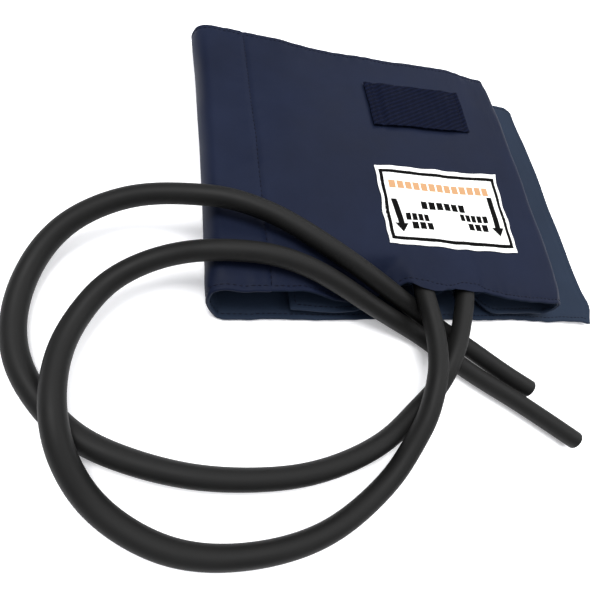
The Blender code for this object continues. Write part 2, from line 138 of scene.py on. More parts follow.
def fromTubes(x, y):
    # squared distance from each point where a tube lies on the cuff
    return (pressing[:, 0, None] - x.ravel()) ** 2 + (pressing[:, 1, None] - y.ravel()) ** 2


# camera, light and floor

view = dict(lens=28.15, sensor=36.0, place=(-0.1257, -0.1373, 0.1682), turn=(24.71, -18.76, -7.19))


def addCamera():
    camera = bpy.data.cameras.new("camera")
    camera.lens, camera.sensor_width, camera.clip_start = view["lens"], view["sensor"], 0.01
    holder = bpy.data.objects.new("camera", camera)
    bpy.context.scene.collection.objects.link(holder)
    holder.location = view["place"]
    holder.rotation_euler = [math.radians(a) for a in view["turn"]]
    bpy.context.scene.camera = holder


studio = dict(
    world=(0.96, 0.97, 1.0), worldPower=0.9, worldLow=0.2,   # the share of its power near the horizon
    lamps=[("windowLamp", (0.45, 0.70, 0.80), 4.4, 0.8), ("fillLamp", (0.75, -0.10, 0.7), 4.5, 0.8),
           ("frontLamp", (-0.30, 0.05, 1.0), 8.5, 0.5)],
    floor=(0.97, 0.97, 0.98), floorGlow=0.26, floorSize=6, floorDrop=0.0005)


def addStudio():
    bpy.context.scene.view_settings.view_transform = "Standard"
    world = bpy.data.worlds.new("studio")
    bpy.context.scene.world = world
    world.use_nodes = True
    world.node_tree.nodes["Background"].inputs["Color"].default_value = (*studio["world"], 1)
    sky = world.node_tree                             # the surroundings are dimmer towards the horizon
    spot = addNode(sky, "ShaderNodeTexCoord")
    upward = splitUp(sky, spot.outputs["Generated"])[2]
    power = rangeOf(sky, upward, studio["worldPower"] * studio["worldLow"], studio["worldPower"])
    sky.links.new(power, sky.nodes["Background"].inputs["Strength"])
    for name, place, power, size in studio["lamps"]:
        lamp = bpy.data.lights.new(name, "AREA")
        lamp.energy, lamp.size, lamp.shape = power, size, "DISK"
        holder = bpy.data.objects.new(name, lamp)
        bpy.context.scene.collection.objects.link(holder)
        holder.location = place
        holder.rotation_euler = (Vector((0, 0, 0)) - Vector(place)).to_track_quat("-Z", "Y").to_euler()
    bpy.ops.mesh.primitive_plane_add(size=studio["floorSize"], location=(0, 0, -studio["floorDrop"]))
    floor = bpy.context.object
    floor.name = "floor"
    bpy.ops.object.transform_apply(location=True, rotation=False, scale=False)
    paint = bpy.data.materials.new("paleFloor")
    paint.use_nodes = True
    shader = paint.node_tree.nodes["Principled BSDF"]
    shader.inputs["Base Color"].default_value = (*studio["floor"], 1)
    shader.inputs["Roughness"].default_value = 0.9
    shader.inputs["Specular IOR Level"].default_value = 0.1
    shader.inputs["Emission Color"].default_value = (*studio["floor"], 1)
    shader.inputs["Emission Strength"].default_value = studio["floorGlow"]
    floor.data.materials.append(paint)


# shader groups that several finishes share

def addNode(tree, kind, **settings):
    made = tree.nodes.new(kind)
    for name, value in settings.items():
        if name == "inputs":
            for key, number in value.items():
                made.inputs[key].default_value = number
        else:
            setattr(made, name, value)
    return made


def calc(tree, operation, a, b=None, clamp=False):
    made = addNode(tree, "ShaderNodeMath", operation=operation, use_clamp=clamp)
    for slot, value in enumerate((a, b)):
        if value is None:
            continue
        if isinstance(value, (int, float)):
            made.inputs[slot].default_value = value
        else:
            tree.links.new(value, made.inputs[slot])
    return made.outputs[0]


def splitUp(tree, vector):
    made = addNode(tree, "ShaderNodeSeparateXYZ")
    tree.links.new(vector, made.inputs[0])
    return made.outputs


def clothCoordinates(tree):
    return addNode(tree, "ShaderNodeUVMap", uv_map="UVMap").outputs[0]


def pieceCoordinates(tree):
    return addNode(tree, "ShaderNodeTexCoord").outputs["Object"]


def newGroup(name, inputs, outputs):
    group = bpy.data.node_groups.new(name, "ShaderNodeTree")
    for label, kind, start in inputs:
        socket = group.interface.new_socket(name=label, in_out="INPUT", socket_type=kind)
        if start is not None:
            socket.default_value = start
    for label, kind in outputs:
        group.interface.new_socket(name=label, in_out="OUTPUT", socket_type=kind)
    return group, group.nodes.new("NodeGroupInput"), group.nodes.new("NodeGroupOutput")


def makeWeaveGroup():
    # warp and weft crossing one over one, with uneven yarn, and a painted highlight that is lighter where
    # the threads rise
    group, given, out = newGroup(
        "wovenCloth", [("Vector", "NodeSocketVector", None), ("Threads", "NodeSocketFloat", 900.0),
                       ("Unevenness", "NodeSocketFloat", 0.3)],
        [("Height", "NodeSocketFloat"), ("ThreadHighlight", "NodeSocketFloat")])
    scaled = addNode(group, "ShaderNodeVectorMath", operation="SCALE")
    group.links.new(given.outputs["Vector"], scaled.inputs[0])
    group.links.new(given.outputs["Threads"], scaled.inputs["Scale"])
    wobble = addNode(group, "ShaderNodeTexNoise", inputs={"Scale": 0.35, "Detail": 2.0})
    group.links.new(scaled.outputs[0], wobble.inputs["Vector"])
    apart = splitUp(group, scaled.outputs[0])
    drift = calc(group, "MULTIPLY", wobble.outputs[0], given.outputs["Unevenness"])
    shifted = [calc(group, "ADD", apart[axis], drift) for axis in (0, 1)]
    warp, weft = (calc(group, "SINE", calc(group, "MULTIPLY", each, math.pi)) for each in shifted)
    cross = calc(group, "MULTIPLY", warp, weft)
    height = calc(group, "ADD", calc(group, "MULTIPLY", cross, 0.5),
                   calc(group, "MULTIPLY", wobble.outputs[0], 0.5))
    group.links.new(height, out.inputs["Height"])
    group.links.new(calc(group, "ADD", calc(group, "MULTIPLY", cross, 0.25), 0.5), out.inputs["ThreadHighlight"])
    return group


def makeWearGroup():
    # broad handling marks, fine grain and a few specks of lint
    group, given, out = newGroup(
        "handlingMarks", [("Vector", "NodeSocketVector", None), ("Marks", "NodeSocketFloat", 22.0),
                          ("Lint", "NodeSocketFloat", 0.4)],
        [("Mottle", "NodeSocketFloat"), ("Grain", "NodeSocketFloat"), ("Specks", "NodeSocketFloat")])
    mottle = addNode(group, "ShaderNodeTexNoise", inputs={"Detail": 4.0, "Roughness": 0.55})
    grain = addNode(group, "ShaderNodeTexNoise", inputs={"Scale": 900.0, "Detail": 2.0})
    cells = addNode(group, "ShaderNodeTexVoronoi", inputs={"Scale": 75.0})
    for each in (mottle, grain, cells):
        group.links.new(given.outputs["Vector"], each.inputs["Vector"])
    group.links.new(given.outputs["Marks"], mottle.inputs["Scale"])
    near = calc(group, "LESS_THAN", cells.outputs["Distance"], 0.035)
    rare = calc(group, "GREATER_THAN", splitUp(group, cells.outputs["Color"])[0], 0.97)
    specks = calc(group, "MULTIPLY", calc(group, "MULTIPLY", near, rare), given.outputs["Lint"])
    group.links.new(mottle.outputs[0], out.inputs["Mottle"])
    group.links.new(grain.outputs[0], out.inputs["Grain"])
    group.links.new(specks, out.inputs["Specks"])
    return group


def makeTwillGroup():
    # slanting ribs of webbing, with a painted shade that is darkest in the grooves between the ribs
    group, given, out = newGroup(
        "twillRibs", [("Vector", "NodeSocketVector", None), ("Ribs", "NodeSocketFloat", 420.0),
                      ("Slope", "NodeSocketFloat", 0.8)],
        [("Height", "NodeSocketFloat"), ("GrooveShade", "NodeSocketFloat")])
    apart = splitUp(group, given.outputs["Vector"])
    slanted = calc(group, "ADD", calc(group, "MULTIPLY", apart[0], given.outputs["Slope"]), apart[1])
    phase = calc(group, "MULTIPLY", calc(group, "MULTIPLY", slanted, given.outputs["Ribs"]), 2 * math.pi)
    rib = calc(group, "SINE", phase)
    yarn = calc(group, "SINE", calc(group, "MULTIPLY", calc(group, "SUBTRACT", apart[0], apart[1]), 2600.0))
    height = calc(group, "ADD", calc(group, "MULTIPLY", rib, 0.5), calc(group, "MULTIPLY", yarn, 0.16))
    group.links.new(height, out.inputs["Height"])
    group.links.new(calc(group, "SUBTRACT", 0.5, calc(group, "MULTIPLY", rib, 0.5)), out.inputs["GrooveShade"])
    return group


weaveGroup, wearGroup, twillGroup = makeWeaveGroup(), makeWearGroup(), makeTwillGroup()


def useGroup(tree, group, vector, **values):
    made = addNode(tree, "ShaderNodeGroup", node_tree=group)
    tree.links.new(vector, made.inputs["Vector"])
    for name, value in values.items():
        made.inputs[name].default_value = value
    return made


def newFinish(name, roughness, specular=0.4, sheen=0.0, sheenTint=None, sheenRoughness=0.4):
    finish = bpy.data.materials.new(name)
    finish.use_nodes = True
    tree = finish.node_tree
    shader = tree.nodes["Principled BSDF"]
    shader.inputs["Roughness"].default_value = roughness
    shader.inputs["Specular IOR Level"].default_value = specular
    shader.inputs["Sheen Weight"].default_value = sheen
    shader.inputs["Sheen Roughness"].default_value = sheenRoughness
    if sheenTint:
        shader.inputs["Sheen Tint"].default_value = (*sheenTint, 1)
    return finish, tree, shader


def mixColours(tree, share, first, second):
    made = addNode(tree, "ShaderNodeMix", data_type="RGBA")
    tree.links.new(share, made.inputs[0])
    for socket, value in ((made.inputs[6], first), (made.inputs[7], second)):
        if isinstance(value, tuple):
            socket.default_value = (*value, 1)
        else:
            tree.links.new(value, socket)
    return made.outputs[2]


def bumpFrom(tree, height, strength, distance):
    made = addNode(tree, "ShaderNodeBump", inputs={"Strength": strength, "Distance": distance})
    tree.links.new(height, made.inputs["Height"])
    return made.outputs[0]


def rangeOf(tree, value, low, high):
    # takes a value's middle stretch, from 0.3 to 0.7, to between low and high
    made = addNode(tree, "ShaderNodeMapRange", inputs={"From Min": 0.3, "From Max": 0.7, "To Min": low,
                                                       "To Max": high})
    tree.links.new(value, made.inputs["Value"])
    return made.outputs[0]


bpy.ops.object.select_all(action="DESELECT")
addCamera()
addStudio()
print("camera and studio are set")

clothLook = dict(
    navyNylon=dict(dark=(0.0034, 0.0058, 0.0165), light=(0.0080, 0.0118, 0.0285), rough=(0.50, 0.64),
                   threads=2400.0, bump=0.25, sheen=0.03, lint=0.5),
    navyLining=dict(dark=(0.0085, 0.0150, 0.0290), light=(0.0150, 0.0235, 0.0420), rough=(0.52, 0.68),
                    threads=2100.0, bump=0.25, sheen=0.03, lint=0.3))


def makeCloth(name):
    look = clothLook[name]
    finish, tree, shader = newFinish(name, 0.5, specular=0.07, sheen=look["sheen"],
                                     sheenTint=(0.55, 0.62, 0.85), sheenRoughness=0.35)
    uv = clothCoordinates(tree)
    here = pieceCoordinates(tree)
    weave = useGroup(tree, weaveGroup, uv, Threads=look["threads"], Unevenness=0.4)
    wear = useGroup(tree, wearGroup, here, Marks=26.0, Lint=look["lint"])
    base = mixColours(tree, rangeOf(tree, wear.outputs["Mottle"], 0.0, 1.0), look["dark"], look["light"])
    # painted highlight: the cloth is coloured lighter where its woven threads rise
    threads = mixColours(tree, calc(tree, "MULTIPLY", weave.outputs["ThreadHighlight"], 0.3), base,
                         tuple(c * 1.3 for c in look["light"]))
    linted = mixColours(tree, wear.outputs["Specks"], threads, (0.45, 0.46, 0.5))
    tree.links.new(linted, shader.inputs["Base Color"])
    tree.links.new(rangeOf(tree, wear.outputs["Mottle"], *look["rough"]), shader.inputs["Roughness"])
    tree.links.new(bumpFrom(tree, weave.outputs["Height"], look["bump"], 0.00008), shader.inputs["Normal"])
    return finish


def makeThread():
    finish, tree, shader = newFinish("navyThread", 0.62, specular=0.1, sheen=0.03,
                                     sheenTint=(0.5, 0.55, 0.8))
    here = pieceCoordinates(tree)
    twill = useGroup(tree, twillGroup, here, Ribs=2600.0, Slope=1.0)
    # painted shade: the thread is coloured darker in the grooves of its twist
    colour = mixColours(tree, calc(tree, "MULTIPLY", twill.outputs["GrooveShade"], 0.6), (0.0045, 0.0055, 0.0140),
                        (0.0020, 0.0025, 0.0065))
    tree.links.new(colour, shader.inputs["Base Color"])
    tree.links.new(bumpFrom(tree, twill.outputs["Height"], 0.4, 0.0001), shader.inputs["Normal"])
    return finish


def makeWebbing():
    finish, tree, shader = newFinish("navyWebbing", 0.7, specular=0.04, sheen=0.02,
                                     sheenTint=(0.5, 0.55, 0.8))
    uv = clothCoordinates(tree)
    twill = useGroup(tree, twillGroup, uv, Ribs=400.0, Slope=-0.5)
    wear = useGroup(tree, wearGroup, uv, Marks=60.0, Lint=0.2)
    # painted shade: the webbing is coloured darker in the grooves between its ribs
    colour = mixColours(tree, calc(tree, "MULTIPLY", twill.outputs["GrooveShade"], 0.8), (0.0030, 0.0052, 0.0180),
                        (0.0012, 0.0019, 0.0065))
    linted = mixColours(tree, wear.outputs["Specks"], colour, (0.3, 0.3, 0.35))
    tree.links.new(linted, shader.inputs["Base Color"])
    tree.links.new(rangeOf(tree, wear.outputs["Mottle"], 0.6, 0.8), shader.inputs["Roughness"])
    tree.links.new(bumpFrom(tree, twill.outputs["Height"], 0.8, 0.0005), shader.inputs["Normal"])
    return finish


def makeRubber(name, dark, light, rough, bump):
    finish, tree, shader = newFinish(name, 0.45, specular=0.17)
    here = pieceCoordinates(tree)
    wear = useGroup(tree, wearGroup, here, Marks=45.0, Lint=0.25)
    colour = mixColours(tree, rangeOf(tree, wear.outputs["Mottle"], 0.0, 1.0), dark, light)
    dusty = mixColours(tree, wear.outputs["Specks"], colour, (0.16, 0.16, 0.16))
    tree.links.new(dusty, shader.inputs["Base Color"])
    tree.links.new(rangeOf(tree, wear.outputs["Mottle"], *rough), shader.inputs["Roughness"])
    tree.links.new(bumpFrom(tree, wear.outputs["Grain"], bump, 0.00012), shader.inputs["Normal"])
    return finish


def makeFuzz(name, dark, light, scale, bump):
    # hook and loop ground: a coarse, fuzzy surface
    finish, tree, shader = newFinish(name, 0.85, specular=0.15, sheen=0.35, sheenTint=(0.5, 0.55, 0.8))
    here = pieceCoordinates(tree)
    fuzz = addNode(tree, "ShaderNodeTexNoise", inputs={"Scale": scale, "Detail": 5.0, "Distortion": 1.5})
    tree.links.new(here, fuzz.inputs["Vector"])
    tree.links.new(mixColours(tree, rangeOf(tree, fuzz.outputs[0], 0.0, 1.0), dark, light),
                   shader.inputs["Base Color"])
    tree.links.new(bumpFrom(tree, fuzz.outputs[0], bump, 0.0006), shader.inputs["Normal"])
    return finish


# the label's print, in millimetres from its front left corner; a bar is its centre, half its size and the
# number of blocks it is cut into
labelSize = (70.0, 43.0)
printFrame = dict(inset=(1.4, 2.2), line=0.95)
printBars = {
    "orange": [((34.4, 32.4), (29.0, 2.2), 13)],
    "words": [((33.6, 21.9), (12.8, 2.1), 6), ((17.6, 15.0), (6.5, 1.9), 4), ((19.5, 10.5), (6.0, 1.9), 3),
              ((50.0, 16.9), (8.4, 1.9), 5), ((51.3, 12.2), (6.2, 1.9), 3)],
}
printArrows = [dict(tip=(8.3, 6.6), bow=0.0066, middle=10.4, halfLong=7.2),
               dict(tip=(62.4, 8.0), bow=0.0, middle=12.4, halfLong=9.1)]
printArrow = dict(halfWide=1.6, head=4.8, slope=0.74)
blockShare = 0.8                                      # of its pitch; the rest is the gap between blocks
printSharpness = 4.0                                  # how quickly ink gives way to cloth, per millimetre


def makePrintGroup():
    # 1 inside a rectangle, 0 outside, with a slightly soft and starved edge
    group, given, out = newGroup(
        "printedBlock", [("Vector", "NodeSocketVector", None), ("Centre X", "NodeSocketFloat", 0.0),
                         ("Centre Y", "NodeSocketFloat", 0.0), ("Half Width", "NodeSocketFloat", 1.0),
                         ("Half Height", "NodeSocketFloat", 1.0), ("Blocks", "NodeSocketFloat", 1.0)],
        [("Ink", "NodeSocketFloat")])
    apart = splitUp(group, given.outputs["Vector"])
    inks = []
    for axis, centre, half in ((0, "Centre X", "Half Width"), (1, "Centre Y", "Half Height")):
        off = calc(group, "ABSOLUTE", calc(group, "SUBTRACT", apart[axis], given.outputs[centre]))
        within = calc(group, "SUBTRACT", given.outputs[half], off)
        inks.append(calc(group, "MULTIPLY", within, printSharpness))
    ink = calc(group, "ADD", calc(group, "MINIMUM", *inks), 0.5, clamp=True)
    start = calc(group, "SUBTRACT", given.outputs["Centre X"], given.outputs["Half Width"])
    share = calc(group, "DIVIDE", calc(group, "SUBTRACT", apart[0], start),
                 calc(group, "MULTIPLY", given.outputs["Half Width"], 2.0))
    share = calc(group, "FRACT", calc(group, "MULTIPLY", share, given.outputs["Blocks"]))
    whole = calc(group, "LESS_THAN", given.outputs["Blocks"], 1.5)
    cut = calc(group, "MAXIMUM", whole, calc(group, "LESS_THAN", share, blockShare))
    group.links.new(calc(group, "MULTIPLY", ink, cut), out.inputs["Ink"])
    return group


def makeLabelCloth():
    finish, tree, shader = newFinish("labelCloth", 0.8, specular=0.02)
    uv = clothCoordinates(tree)
    ragged = addNode(tree, "ShaderNodeTexNoise", inputs={"Scale": 1.3, "Detail": 3.0})
    inMm = addNode(tree, "ShaderNodeVectorMath", operation="SCALE", inputs={"Scale": 1000.0})
    tree.links.new(uv, inMm.inputs[0])
    tree.links.new(inMm.outputs[0], ragged.inputs["Vector"])
    shift = addNode(tree, "ShaderNodeVectorMath", operation="MULTIPLY_ADD",
                    inputs={1: (0.35, 0.35, 0.35), 2: (-0.17, -0.17, 0.0)})
    tree.links.new(ragged.outputs["Color"], shift.inputs[0])
    spot = addNode(tree, "ShaderNodeVectorMath", operation="ADD")
    tree.links.new(inMm.outputs[0], spot.inputs[0])
    tree.links.new(shift.outputs[0], spot.inputs[1])
    here = spot.outputs[0]
    block = makePrintGroup()

    def blockInk(centre, half, blocks=1):
        made = useGroup(tree, block, here, **{"Centre X": centre[0], "Centre Y": centre[1], "Blocks": blocks,
                                             "Half Width": half[0], "Half Height": half[1]})
        return made.outputs["Ink"]

    middle = (labelSize[0] / 2, labelSize[1] / 2)
    (sideInset, endInset), line = printFrame["inset"], printFrame["line"]
    outer = blockInk(middle, (middle[0] - sideInset, middle[1] - endInset))
    inner = blockInk(middle, (middle[0] - sideInset - 2 * line, middle[1] - endInset - 2 * line))
    black = calc(tree, "SUBTRACT", outer, inner, clamp=True)
    across, upward = splitUp(tree, here)[:2]
    for bar in printBars["words"]:
        black = calc(tree, "MAXIMUM", black, blockInk(*bar))
    for arrow in printArrows:                         # a bowed shaft, and a head that widens from its tip
        tipX, tipY = arrow["tip"]
        above = calc(tree, "SUBTRACT", upward, tipY)
        bowed = calc(tree, "MULTIPLY", calc(tree, "MULTIPLY", above, above), arrow["bow"])
        aside = calc(tree, "ABSOLUTE", calc(tree, "SUBTRACT", calc(tree, "ADD", across, bowed), tipX))
        along = calc(tree, "ABSOLUTE", calc(tree, "SUBTRACT", above, arrow["middle"]))
        shaft = calc(tree, "MINIMUM", calc(tree, "SUBTRACT", printArrow["halfWide"], aside),
                     calc(tree, "SUBTRACT", arrow["halfLong"], along))
        slope = calc(tree, "SUBTRACT", calc(tree, "MULTIPLY", above, printArrow["slope"]), aside)
        head = calc(tree, "MINIMUM", slope, calc(tree, "SUBTRACT", printArrow["head"], above))
        ink = calc(tree, "MULTIPLY", calc(tree, "MAXIMUM", shaft, head), printSharpness)
        black = calc(tree, "MAXIMUM", black, calc(tree, "ADD", ink, 0.5, clamp=True))
    orange = blockInk(*printBars["orange"][0])
    weave = useGroup(tree, weaveGroup, uv, Threads=3200.0, Unevenness=0.3)
    wear = useGroup(tree, wearGroup, uv, Marks=60.0, Lint=0.0)
    cloth = mixColours(tree, rangeOf(tree, wear.outputs["Mottle"], 0.0, 1.0), (0.88, 0.88, 0.86),
                       (0.94, 0.94, 0.92))
    withOrange = mixColours(tree, calc(tree, "MULTIPLY", orange, 0.92), cloth, (0.45, 0.22, 0.075))
    tree.links.new(mixColours(tree, black, withOrange, (0.004, 0.004, 0.004)),
                   shader.inputs["Base Color"])
    tree.links.new(bumpFrom(tree, weave.outputs["Height"], 0.3, 0.00006), shader.inputs["Normal"])
    return finish


finishes = {
    "nylon": makeCloth("navyNylon"),
    "lining": makeCloth("navyLining"),
    "thread": makeThread(),
    "webbing": makeWebbing(),
    "label": makeLabelCloth(),
    "tube": makeRubber("tubeRubber", (0.0050, 0.0050, 0.0049), (0.0080, 0.0080, 0.0078), (0.50, 0.64), 0.25),
    "bladder": makeRubber("bladderRubber", (0.022, 0.020, 0.019), (0.038, 0.035, 0.033), (0.5, 0.7), 0.4),
    "hooks": makeFuzz("hookTape", (0.008, 0.009, 0.015), (0.018, 0.020, 0.034), 900.0, 0.5),
    "loops": makeFuzz("loopPile", (0.010, 0.011, 0.020), (0.024, 0.027, 0.050), 1400.0, 0.9),
}
print("finishes are mixed")


# the strip as one surface: s runs from the tail's free end round both folds to the inner flap's end, and
# w from 0 at the front hem to 1 at the back hem

cover = dict(frontHeight=19.0, crownRise=1.0, leftFall=2.0, rightRise=1.5, crownLine=70.0, fallPower=1.6,
             tubeGap=0.2, bowl=22.0, outletFlat=2.5, outletRise=1.1)
hems = dict(leftBack=2.8, outletOut=2.7, closureOut=2.3, wave=0.8, ripple=0.4, tailWave=1.0, backWave=0.6,
            backLeftOut=0.9, flapBow=13.0, closureBulge=1.6, closureFrontIn=2.2, closureBackIn=1.8)
folds = dict(leftPinch=3.0, frontSwing=2.4, backSwing=1.2)
cloth = dict(droop=1.3, backDroop=0.3, pinch=0.5, seamDepth=0.5, seamThinner=0.4, broad=1.0, medium=0.3,
             puckerPitch=7.4, gatherPitch=7.5, gather=0.22, tailLift=0.5)
foldSize = (13.0, 17.0)                               # how far the right fold reaches, and its height
foldShape = [(0.0, 1.0), (0.35, 1.0), (0.62, 0.93), (0.84, 0.74), (0.97, 0.48), (1.0, 0.26), (0.92, 0.1),
             (0.76, 0.02), (0.6, 0.0)]
foldCurve = smoothRoute([(*(np.array(point) * foldSize), 0.0) for point in foldShape], 60) / (*foldSize, 1.0)


def noiseAt(x, y, z, size):
    flat = np.stack(np.broadcast_arrays(x, y, z), -1).reshape(-1, 3) / size
    return np.array([noise.noise(p) for p in flat]).reshape(np.broadcast(x, y, z).shape)


def frontLine(x):
    return np.interp(x, frontEdgeX, frontEdgeY)


def outletFade(y):
    return 1.0 - ease(y, 16.0, 36.0)


def coverTop(x, y):
    # crowned in the middle and to the right, falls to the back, pressed by the tubes, lifted at the outlets
    fromFold = ease(x, 0, 40)
    height = cover["frontHeight"] + cover["crownRise"] * fromFold * ease(y, 5, 30)
    height = height - cover["leftFall"] * (1 - fromFold) * ease(y, 0, 60)
    height = height + cover["rightRise"] * ease(x, 105, 150) * ease(y, 35, cover["crownLine"])
    backRun = strip["width"] - strip["backInset"] - cover["crownLine"]
    fall = np.clip((y - cover["crownLine"]) / backRun, 0, 1) ** cover["fallPower"]
    height = height + (np.interp(x, backEdgeX, backEdgeZ) - height) * fall
    tubeBottom = pressing[:, 2, None] - tubeRadius - cover["tubeGap"]
    pressed = np.min(tubeBottom + fromTubes(x, y) / cover["bowl"], axis=0).reshape(x.shape)
    height = np.minimum(height, pressed)
    aside = np.maximum(np.abs(x - np.clip(x, *outletX)) - cover["outletFlat"], 0.0)
    bulge = np.interp(x, outletX, outletZ) + tubeRadius + cover["outletRise"] - aside ** 2 / cover["bowl"]
    return np.maximum(height, height + (bulge - height) * outletFade(y))


def stripPlace(s, w):
    s, w = np.broadcast_arrays(np.asarray(s, float), np.asarray(w, float))
    tailX = strip["tail"] - s
    topX = np.clip(s - topStart, 0.0, strip["topRun"])
    flapX = strip["flapRoot"] - (s - flapBegin)
    onTop, onFlap = ease(s, strip["tail"], topStart), ease(s, flapBegin - 6, flapBegin + 4)
    flapFront = 2.0 + hems["flapBow"] * ease(flapX, 56, 76) * (1 - ease(flapX, 112, 130))
    wave = hems["wave"] * noiseAt(s, 0.0, 4.7, 17.0) + hems["ripple"] * noiseAt(s, 0.0, 9.1, 6.0)
    wave = wave + hems["tailWave"] * noiseAt(s, 0.0, 7.7, 24.0) * (s < strip["tail"])
    front = frontLine(topX) + hems["leftBack"] * (1 - ease(topX, 30, 62))
    front = front - hems["outletOut"] * np.exp(-((topX - 88) / 17) ** 2)
    front = front * onTop * (1 - onFlap) + flapFront * onFlap + wave
    front = front - hems["closureOut"] * (1 - ease(s, 0, 24))
    corner = np.clip(strip["closureCorner"] - s, 0.0, strip["closureCorner"])
    cut = strip["closureCorner"] - np.sqrt(strip["closureCorner"] ** 2 - corner ** 2)
    tip = 1 - ease(s, 0, 22)
    back = strip["width"] - strip["backInset"] * onTop - strip["flapInset"] * onFlap - cut
    back = back + hems["backWave"] * noiseAt(s, 0.0, 14.2, 20.0)
    back = back + hems["backLeftOut"] * (1 - ease(topX, 15, 50)) * onTop
    y = front + w * (back - front)
    outward = hems["closureBulge"] * np.exp(-((y - 9) / 5.5) ** 2)
    outward = outward - hems["closureFrontIn"] * (1 - ease(y, -3, 7))
    outward = outward - hems["closureBackIn"] * ease(y, 108, 137)
    tailX = tailX + outward * tip
    turn = (np.clip(s, strip["tail"], topStart) - strip["tail"]) / strip["leftRun"] * math.pi - math.pi / 2
    half = coverTop(np.full_like(y, 0.3), y) / 2
    reach = np.interp(w, leftReachW, leftReachX)
    bend = np.clip((s - rightStart) / strip["rightRun"], 0, 1) * (len(foldCurve) - 1)
    along = np.interp(bend, np.arange(len(foldCurve)), foldCurve[:, 0])
    up = np.interp(bend, np.arange(len(foldCurve)), foldCurve[:, 1])
    foldTop = coverTop(np.full_like(y, strip["topRun"]), y)
    swing = up * (folds["frontSwing"] * (1 - ease(w, 0, 0.42)) + folds["backSwing"] * ease(w, 0.5, 1.0))
    rightX = strip["topRun"] + along * (strip["rightReach"] + swing - strip["topRun"])
    rightZ = strip["flapBottom"] + up * (foldTop - strip["flapBottom"])
    where = [s <= strip["tail"], s <= topStart, s <= rightStart, s <= flapBegin]
    leftX = -np.cos(turn) * (reach + folds["leftPinch"] * np.sin(turn) * (1 - ease(w, 0, 0.2)))
    x = np.select(where, [tailX, leftX, topX, rightX], flapX)
    z = np.select(where, [0.0 * y, half + half * np.sin(turn), coverTop(topX, y), rightZ],
                  0.0 * y + strip["flapBottom"])
    return np.stack([x, y, z], -1), back - front


def seamDrift(y):
    return 0.5 * noiseAt(y, 0.0, 2.2, 22.0)           # the pocket's seam isn't sewn quite straight


def stripSurface(s, w):
    # the cloth's outer face, the way in from it, and how thick the layers are
    s, w = np.broadcast_arrays(np.asarray(s, float), np.asarray(w, float))
    place, across = stripPlace(s, w)
    ahead, behind = stripPlace(s + 0.5, w)[0], stripPlace(s - 0.5, w)[0]
    run = ahead - behind
    run[..., 1] = 0
    run /= np.linalg.norm(run, axis=-1, keepdims=True)
    inward = np.stack([run[..., 2], 0 * run[..., 0], -run[..., 0]], -1)
    x, y = place[..., 0], place[..., 1]
    fromHem = np.minimum(w, 1 - w) * across
    fromHem = np.where(s < 10, np.minimum(fromHem, s), fromHem)
    fromHem = np.where(s > flapEnd - 10, np.minimum(fromHem, flapEnd - s), fromHem)
    frontSide, backSide = w * across, (1 - w) * across
    onTop = ease(s, strip["tail"] + 6, topStart) * (1 - ease(s, flapBegin - 10, flapBegin))
    onFlap = ease(s, flapBegin - 4, flapBegin + 2)
    outlet = np.exp(-((x - np.clip(x, *outletX)) / 9.0) ** 2) * outletFade(y) * onTop
    thick = strip["panelThick"] + 0 * s
    pad = ease(s - topStart, 19, 27) * (1 - ease(s, rightStart - 2, rightStart + 12))
    thick = thick + (strip["pocketThick"] - strip["panelThick"]) * pad * ease(frontSide, 5, 14) * ease(
        backSide, 5, 12)
    pad = ease(s, flapBegin + 2, flapBegin + 9) * (1 - ease(s, flapBegin + 80, flapBegin + 88))
    thick = thick + (strip["flapThick"] - strip["panelThick"]) * pad * ease(fromHem, 5, 13)
    for route in tubeRoutes.values():                 # the lining sags under each outlet
        sag = route[1][2] - tubeRadius - 1.3 + (x - route[0][0]) ** 2 / 9
        thick = np.maximum(thick, (place[..., 2] - sag) * onTop * (1 - ease(y, 20, 26)))
    pinch = cloth["pinch"] * np.exp(-((fromHem - strip["hemInset"]) / 0.6) ** 2)
    seamRun = s - topStart - strip["pocketSeam"]
    seam = onTop * np.exp(-(seamRun - seamDrift(y)) ** 2)
    droop = cloth["droop"] + (cloth["backDroop"] - cloth["droop"]) * ease(w, 0.4, 0.6)
    droop = droop * (1 - ease(fromHem, 0, 9)) * onTop * (1 - outlet)
    broad = cloth["broad"] * noiseAt(x, y, 3.1 * 34, 34.0) + cloth["medium"] * noiseAt(x, y, 8.2 * 14, 13.0)
    calm = 1 - 0.8 * np.exp(-np.min(fromTubes(x, y), axis=0).reshape(x.shape) / 60.0)
    turns = s / cloth["puckerPitch"] + 1.2 * noiseAt(s, 0.0, 1.3, 22.0)
    pucker = (0.16 + 0.2 * noiseAt(s, 0.0, 5.9, 18.0)) * np.sin(2 * math.pi * turns)
    pucker = pucker * np.exp(-((fromHem - 3.2) / 2.8) ** 2)
    turns = y / cloth["gatherPitch"] + 0.7 * noiseAt(y, 0.0, 6.3, 24.0)
    gather = cloth["gather"] * np.sin(2 * math.pi * turns) * np.exp(-((np.abs(seamRun) - 2.6) / 2.6) ** 2)
    swell = (broad * calm * (1 - outlet) + pucker + gather) * onTop
    inset = droop + pinch / 2 - swell + cloth["seamDepth"] * seam
    place = place + inward * inset[..., None]
    thick = thick - pinch - cloth["seamThinner"] * seam
    # the tail's free end and front hem stand a little off the table
    lift = cloth["tailLift"] + 1.1 * noiseAt(x, y, 5.5 * 28, 28.0)
    lift = lift * (ease(x, 158, 188) + 0.6 * (1 - ease(y, 0, 16)))
    lift = np.maximum(lift + pucker * 0.6, 0.0) * (s < strip["tail"] - 12)
    place[..., 2] += lift
    place[..., 2] += np.where(onFlap > 0.5, -0.25 * pucker, 0.0)
    return place, inward, thick


hemRows = [0.9, 1.7, 2.5, 3.3, 4.4, 6.0, 8.0, 10.5, 13.0]
flatRows = list(np.arange(15.5, 130.0, 2.3))
rowsAcross = np.array(hemRows + flatRows + [strip["width"] - h for h in reversed(hemRows)]) / strip["width"]


